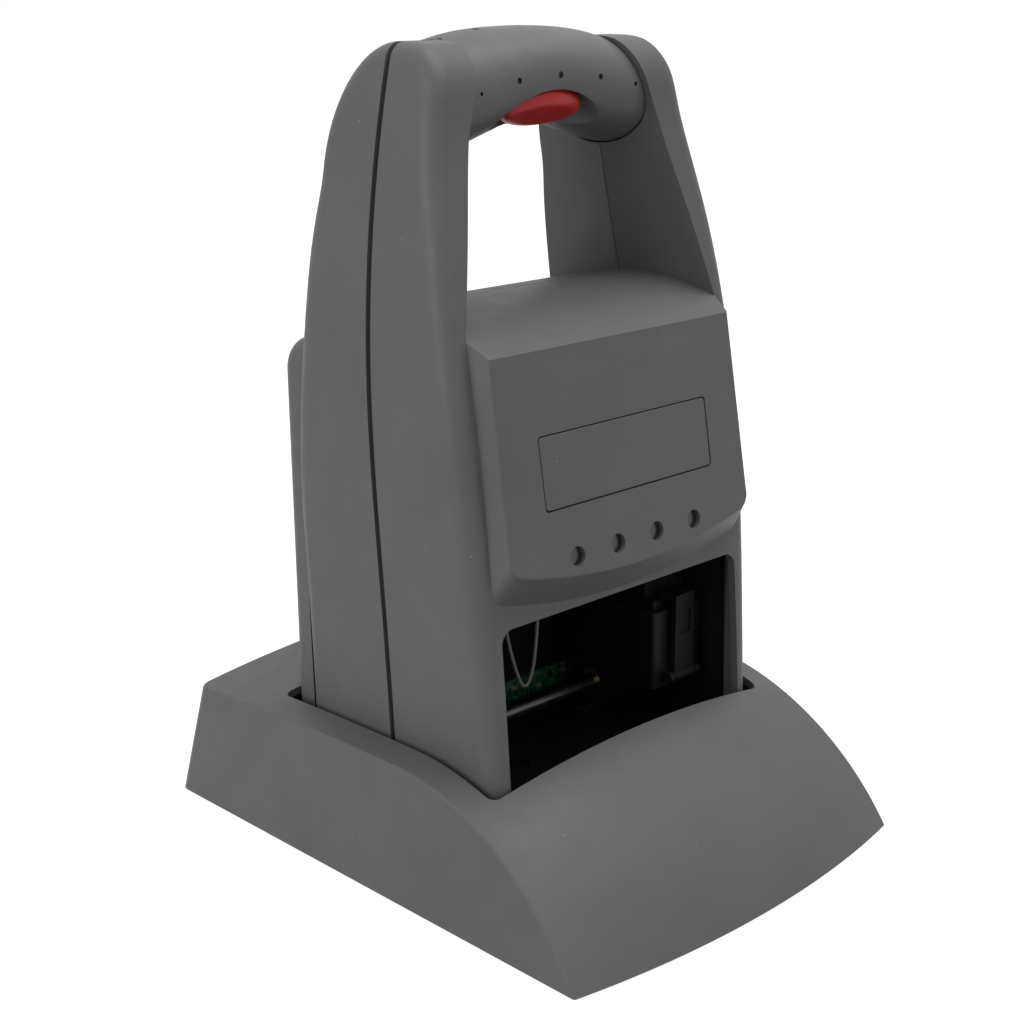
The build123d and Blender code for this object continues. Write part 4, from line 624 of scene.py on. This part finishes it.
@dataclass
class Housing(SubAssembly):
    """The printer's shells, their seam, and the screws and plates that close them."""

    finishes: dict[str, Finishes] = field(
        default_factory=lambda: {
            "front_shell": Finishes.CASING,
            "rear_shell": Finishes.CASING,
            # the seam's near-black fill is painted shadow of the groove
            "seam_gasket": Finishes.GASKET,
            "shell_screws": Finishes.ZINC,
            "base_plate": Finishes.INNER,
            "base_plate_screws": Finishes.ZINC,
            "printer_contacts": Finishes.BRASS,
        }
    )


@dataclass
class Grip(SubAssembly):
    """The bowed grip with its metal core, trigger, return spring and switch."""

    finishes: dict[str, Finishes] = field(
        default_factory=lambda: {
            "grip_front": Finishes.GRIP,
            "grip_rear": Finishes.GRIP,
            "handle_core": Finishes.CORE,
            "trigger": Finishes.TRIGGER,
            "trigger_spring": Finishes.SPRING,
            "trigger_switch": Finishes.INNER,
        }
    )


@dataclass
class ControlPanel(SubAssembly):
    """The wide key, the four indicators and the board behind them."""

    finishes: dict[str, Finishes] = field(
        default_factory=lambda: {
            "control_key": Finishes.CASING,
            # the lenses' near-black colour is partly painted shade of their recesses
            "led_lenses": Finishes.LENS,
            "panel_board": Finishes.BOARD,
            "panel_board_parts": Finishes.INNER,
            "panel_board_screws": Finishes.ZINC,
        }
    )


@dataclass
class StripBoard:
    """The row of small parts on the narrow board low behind the window.

    first is the first part's place in pitches from the board's end. Every part whose number
    low_every divides sits by row_down under the board's middle, and the others by row_up over it.
    """

    part_length: float = 2.2 * MM
    part_height: float = 1.3 * MM
    part_depth: float = 0.9 * MM
    pitch: float = 5.6 * MM
    first: float = 0.6
    row_up: float = 1.1 * MM
    row_down: float = 1.2 * MM
    low_every: int = 3
    sunk: float = 0.02 * MM
    edge: float = 0.12 * MM
    cap_half: float = 0.3 * MM
    cap_proud: float = 0.04 * MM

    def build(self) -> None:
        """Adds the parts to the board's front face."""
        low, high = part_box("strip_board")
        mesh = bmesh.new()
        finishes = [Finishes.CERAMIC, Finishes.INNER, Finishes.ZINC]
        cap = finishes.index(Finishes.ZINC)
        middle = (low.z + high.z) / 2
        front = low.y - self.part_depth
        back = low.y + self.sunk
        half = self.part_length / 2
        for number in range(int((high.x - low.x) / self.pitch)):
            x = low.x + (number + self.first) * self.pitch
            z = middle + (self.row_up if number % self.low_every else -self.row_down)
            under = z - self.part_height / 2
            over = z + self.part_height / 2
            case = finishes.index(Finishes.INNER if number % 2 else Finishes.CERAMIC)
            add_block(mesh, (x - half, front, under), (x + half, back, over), self.edge, case)
            for tip in (x - half, x + half):
                add_block(
                    mesh,
                    (tip - self.cap_half, front - self.cap_proud, under - self.cap_proud),
                    (tip + self.cap_half, back, over + self.cap_proud),
                    self.edge / 2,
                    cap,
                )
        add_mesh("strip_board_parts", mesh, finishes, Body.PRINTER)


@dataclass
class DriveBelt:
    """The teeth on the inside of the belt that pulls the carriage.

    first is the first tooth's place in pitches from the driving pulley, and band is the thickness
    of belt outside the teeth.
    """

    tooth_pitch: float = 2.0 * MM
    tooth_height: float = 0.35 * MM
    tooth_share: float = 0.5
    first: float = 0.25
    band: float = 0.9 * MM
    sunk: float = 0.05 * MM
    side_gap: float = 0.1 * MM
    edge: float = 0.08 * MM

    def build(self) -> None:
        """Adds teeth to the belt's two straight runs."""
        low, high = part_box("drive_belt")
        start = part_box("drive_pulley")[1].x
        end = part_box("idler_pulley")[0].x
        mesh = bmesh.new()
        length = self.tooth_share * self.tooth_pitch
        for number in range(int((end - start) / self.tooth_pitch)):
            x = start + (number + self.first) * self.tooth_pitch
            for run, way in ((high.z - self.band, -1), (low.z + self.band, 1)):
                near, far = sorted((run - way * self.sunk, run + way * self.tooth_height))
                add_block(
                    mesh,
                    (x, low.y + self.side_gap, near),
                    (x + length, high.y - self.side_gap, far),
                    self.edge,
                )
        add_mesh("drive_belt_teeth", mesh, [Finishes.RUBBER], Body.PRINTER)


@dataclass
class WiringLoop:
    """The thin loop of cable that hangs down beside the window, along a route in millimetres."""

    radius: float = 0.6 * MM
    route: tuple[Point, ...] = (
        (-47, -33.0, 96),
        (-45.6, -34.4, 89),
        (-44, -34.6, 80),
        (-40.5, -34.4, 69),
        (-37.0, -34.0, 62.5),
        (-33.5, -33.8, 66),
        (-31.5, -33.6, 77),
        (-31.0, -33.6, 86.4),
    )

    def build(self) -> None:
        curve = bpy.data.curves.new("flex_loop", "CURVE")
        curve.dimensions = "3D"
        curve.resolution_u = 12
        curve.bevel_depth = self.radius
        curve.bevel_resolution = 4
        curve.use_fill_caps = True
        line = curve.splines.new("NURBS")
        line.points.add(len(self.route) - 1)
        for point, place in zip(line.points, self.route):
            point.co = (*[value * MM for value in place], 1)
        line.order_u = 3
        line.use_endpoint_u = True
        curve.materials.append(Finishes.SHEATH.make())
        loop = bpy.data.objects.new("flex_loop", curve)
        bpy.context.scene.collection.objects.link(loop)
        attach(loop, Body.PRINTER.value)
        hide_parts("flex_cable")
        log.info("flex_loop: %.1f mm long", self.length(line) / MM)

    def length(self, line: bpy.types.Spline) -> float:
        """The spline's own length in metres."""
        return line.calc_length()


@dataclass
class PrintEngine(SubAssembly):
    """The chassis with its rod, rail, boards, motor, belt, carriage, cartridge and latch."""

    finishes: dict[str, Finishes] = field(
        default_factory=lambda: {
            "chassis": Finishes.SHEET,
            "guide_rod": Finishes.ROD,
            "rear_rail": Finishes.ROD,
            "strip_board": Finishes.BOARD,
            "main_board": Finishes.BOARD,
            "main_board_chips": Finishes.INNER,
            "main_board_screws": Finishes.ZINC,
            "drive_motor": Finishes.CAN,
            "drive_pulley": Finishes.BRASS,
            "idler_pulley": Finishes.INNER,
            "drive_belt": Finishes.RUBBER,
            "carriage": Finishes.INNER,
            "carriage_bushings": Finishes.BRASS,
            "belt_clamp": Finishes.INNER,
            "ink_cartridge": Finishes.CARTRIDGE,
            "nozzle_plate": Finishes.BRASS,
            "cartridge_latch": Finishes.INNER,
        }
    )
    strip: StripBoard = field(default_factory=StripBoard)
    belt: DriveBelt = field(default_factory=DriveBelt)
    wiring: WiringLoop = field(default_factory=WiringLoop)

    def build(self) -> None:
        """Dresses the engine and adds its fine fittings."""
        super().build()
        self.strip.build()
        self.belt.build()
        self.wiring.build()


@dataclass
class Battery(SubAssembly):
    """The battery pack on the printer's back, and the contacts that it meets."""

    finishes: dict[str, Finishes] = field(
        default_factory=lambda: {
            "battery_pack": Finishes.CASING,
            "battery_terminals": Finishes.BRASS,
            "battery_contacts": Finishes.BRASS,
        }
    )


@dataclass
class PhotoCamera:
    """The camera, where the photograph was taken from."""

    place: Point = (-0.35461, -0.35965, 0.25341)
    azimuth: float = math.radians(-44.098)
    pitch: float = math.radians(16.891)
    roll: float = math.radians(-0.321)
    focal_px: float = 1734.444
    centre_px: tuple[float, float] = (517.573, 511.620)
    photo_px: int = 1024
    sensor: float = 36.0
    nearest: float = 0.01

    def build(self) -> None:
        """Makes the scene's camera."""
        a, e, r = self.azimuth, self.pitch, -self.roll
        back = Vector((math.sin(a) * math.cos(e), -math.cos(a) * math.cos(e), math.sin(e)))
        right = Vector((math.cos(a), math.sin(a), 0.0))
        up = back.cross(right)
        x_axis = math.cos(r) * right - math.sin(r) * up
        y_axis = math.sin(r) * right + math.cos(r) * up
        turn = Matrix((x_axis, y_axis, back)).transposed().to_4x4()
        data = bpy.data.cameras.new("photo_camera")
        data.sensor_width = self.sensor
        data.lens = self.focal_px * self.sensor / self.photo_px
        data.shift_x = (self.photo_px / 2 - self.centre_px[0]) / self.photo_px
        data.shift_y = (self.centre_px[1] - self.photo_px / 2) / self.photo_px
        data.clip_start = self.nearest
        camera = bpy.data.objects.new("photo_camera", data)
        camera.matrix_world = Matrix.Translation(self.place) @ turn
        bpy.context.scene.collection.objects.link(camera)
        bpy.context.scene.camera = camera


@dataclass(frozen=True)
class Softbox:
    """One square lamp of the studio."""

    name: str
    place: Point
    size: float
    watts: float


@dataclass
class Studio:
    """A white floor and surround under soft lamps."""

    floor_half: float = 6.0
    floor_cells: int = 8
    floor_glow: float = 0.93
    floor_colour: Colour = (0.27, 0.27, 0.28)
    sky: float = 0.56
    lamps: tuple[Softbox, ...] = (
        Softbox("top_softbox", (0.3, -0.2, 1.6), 1.2, 18.5),
        Softbox("left_softbox", (-1.6, 0.1, 0.55), 1.2, 14.5),
        Softbox("front_softbox", (0.3, -1.8, 0.7), 1.2, 2.4),
    )

    def build(self) -> None:
        """Makes the floor, the surround and the lamps."""
        scene = bpy.context.scene
        scene.view_settings.view_transform = "Standard"
        self.make_floor()
        self.make_world()
        for lamp in self.lamps:
            self.make_lamp(lamp)

    def seen(self, tree: bpy.types.NodeTree) -> Socket:
        """A factor that is 1 for camera, glossy and transmission rays.

        Args:
            tree: The tree that the nodes go into.

        Returns:
            The factor's socket.
        """
        path = tree.nodes.new("ShaderNodeLightPath")
        total = path.outputs["Is Camera Ray"]
        for kind in ("Is Glossy Ray", "Is Transmission Ray"):
            node = tree.nodes.new("ShaderNodeMath")
            node.operation = "MAXIMUM"
            tree.links.new(total, node.inputs[0])
            tree.links.new(path.outputs[kind], node.inputs[1])
            total = node.outputs[0]
        return total

    def make_floor(self) -> None:
        """A white floor that keeps the object's soft shadow."""
        mesh = bmesh.new()
        cells = self.floor_cells
        bmesh.ops.create_grid(mesh, x_segments=cells, y_segments=cells, size=self.floor_half)
        data = bpy.data.meshes.new("studio_floor")
        mesh.to_mesh(data)
        mesh.free()
        floor = bpy.data.objects.new("studio_floor", data)
        bpy.context.scene.collection.objects.link(floor)
        material = bpy.data.materials.new("studio_paper")
        material.use_nodes = True
        tree = material.node_tree
        tree.nodes.clear()
        paper = tree.nodes.new("ShaderNodeBsdfDiffuse")
        paper.inputs["Color"].default_value = (*self.floor_colour, 1)
        glow = tree.nodes.new("ShaderNodeEmission")
        level = tree.nodes.new("ShaderNodeMath")
        level.operation = "MULTIPLY"
        level.inputs[1].default_value = self.floor_glow
        tree.links.new(self.seen(tree), level.inputs[0])
        tree.links.new(level.outputs[0], glow.inputs["Strength"])
        both = tree.nodes.new("ShaderNodeAddShader")
        tree.links.new(paper.outputs[0], both.inputs[0])
        tree.links.new(glow.outputs[0], both.inputs[1])
        output = tree.nodes.new("ShaderNodeOutputMaterial")
        tree.links.new(both.outputs[0], output.inputs["Surface"])
        data.materials.append(material)

    def make_world(self) -> None:
        """A surround that looks white and lights the object softly."""
        world = bpy.data.worlds.new("studio_surround")
        world.use_nodes = True
        tree = world.node_tree
        tree.nodes.clear()
        lit = tree.nodes.new("ShaderNodeBackground")
        lit.inputs["Strength"].default_value = self.sky
        white = tree.nodes.new("ShaderNodeBackground")
        white.inputs["Strength"].default_value = 1.0
        for background in (lit, white):
            background.inputs["Color"].default_value = (1, 1, 1, 1)
        mix = tree.nodes.new("ShaderNodeMixShader")
        tree.links.new(self.seen(tree), mix.inputs[0])
        tree.links.new(lit.outputs[0], mix.inputs[1])
        tree.links.new(white.outputs[0], mix.inputs[2])
        output = tree.nodes.new("ShaderNodeOutputWorld")
        tree.links.new(mix.outputs[0], output.inputs["Surface"])
        bpy.context.scene.world = world

    def make_lamp(self, lamp: Softbox) -> None:
        """Hangs one lamp and turns it towards the middle of the printer.

        Args:
            lamp: The lamp's place, size and power.
        """
        data = bpy.data.lights.new(lamp.name, "AREA")
        data.size = lamp.size
        data.energy = lamp.watts
        thing = bpy.data.objects.new(lamp.name, data)
        thing.location = lamp.place
        aim = Vector((0, 0, CAD_BOX[1].z / 2)) - Vector(lamp.place)
        thing.rotation_euler = aim.to_track_quat("-Z", "Y").to_euler()
        bpy.context.scene.collection.objects.link(thing)


def main() -> None:
    """Builds the studio and every sub-assembly, and reports each piece."""
    logging.basicConfig(level=logging.INFO, format="%(name)s %(message)s")
    parts = (
        PhotoCamera(),
        PrintEngine(),
        DockingBase(),
        Housing(),
        Grip(),
        ControlPanel(),
        Battery(),
        Studio(),
    )
    for part in parts:
        part.build()


if __name__ == "__main__":
    main()
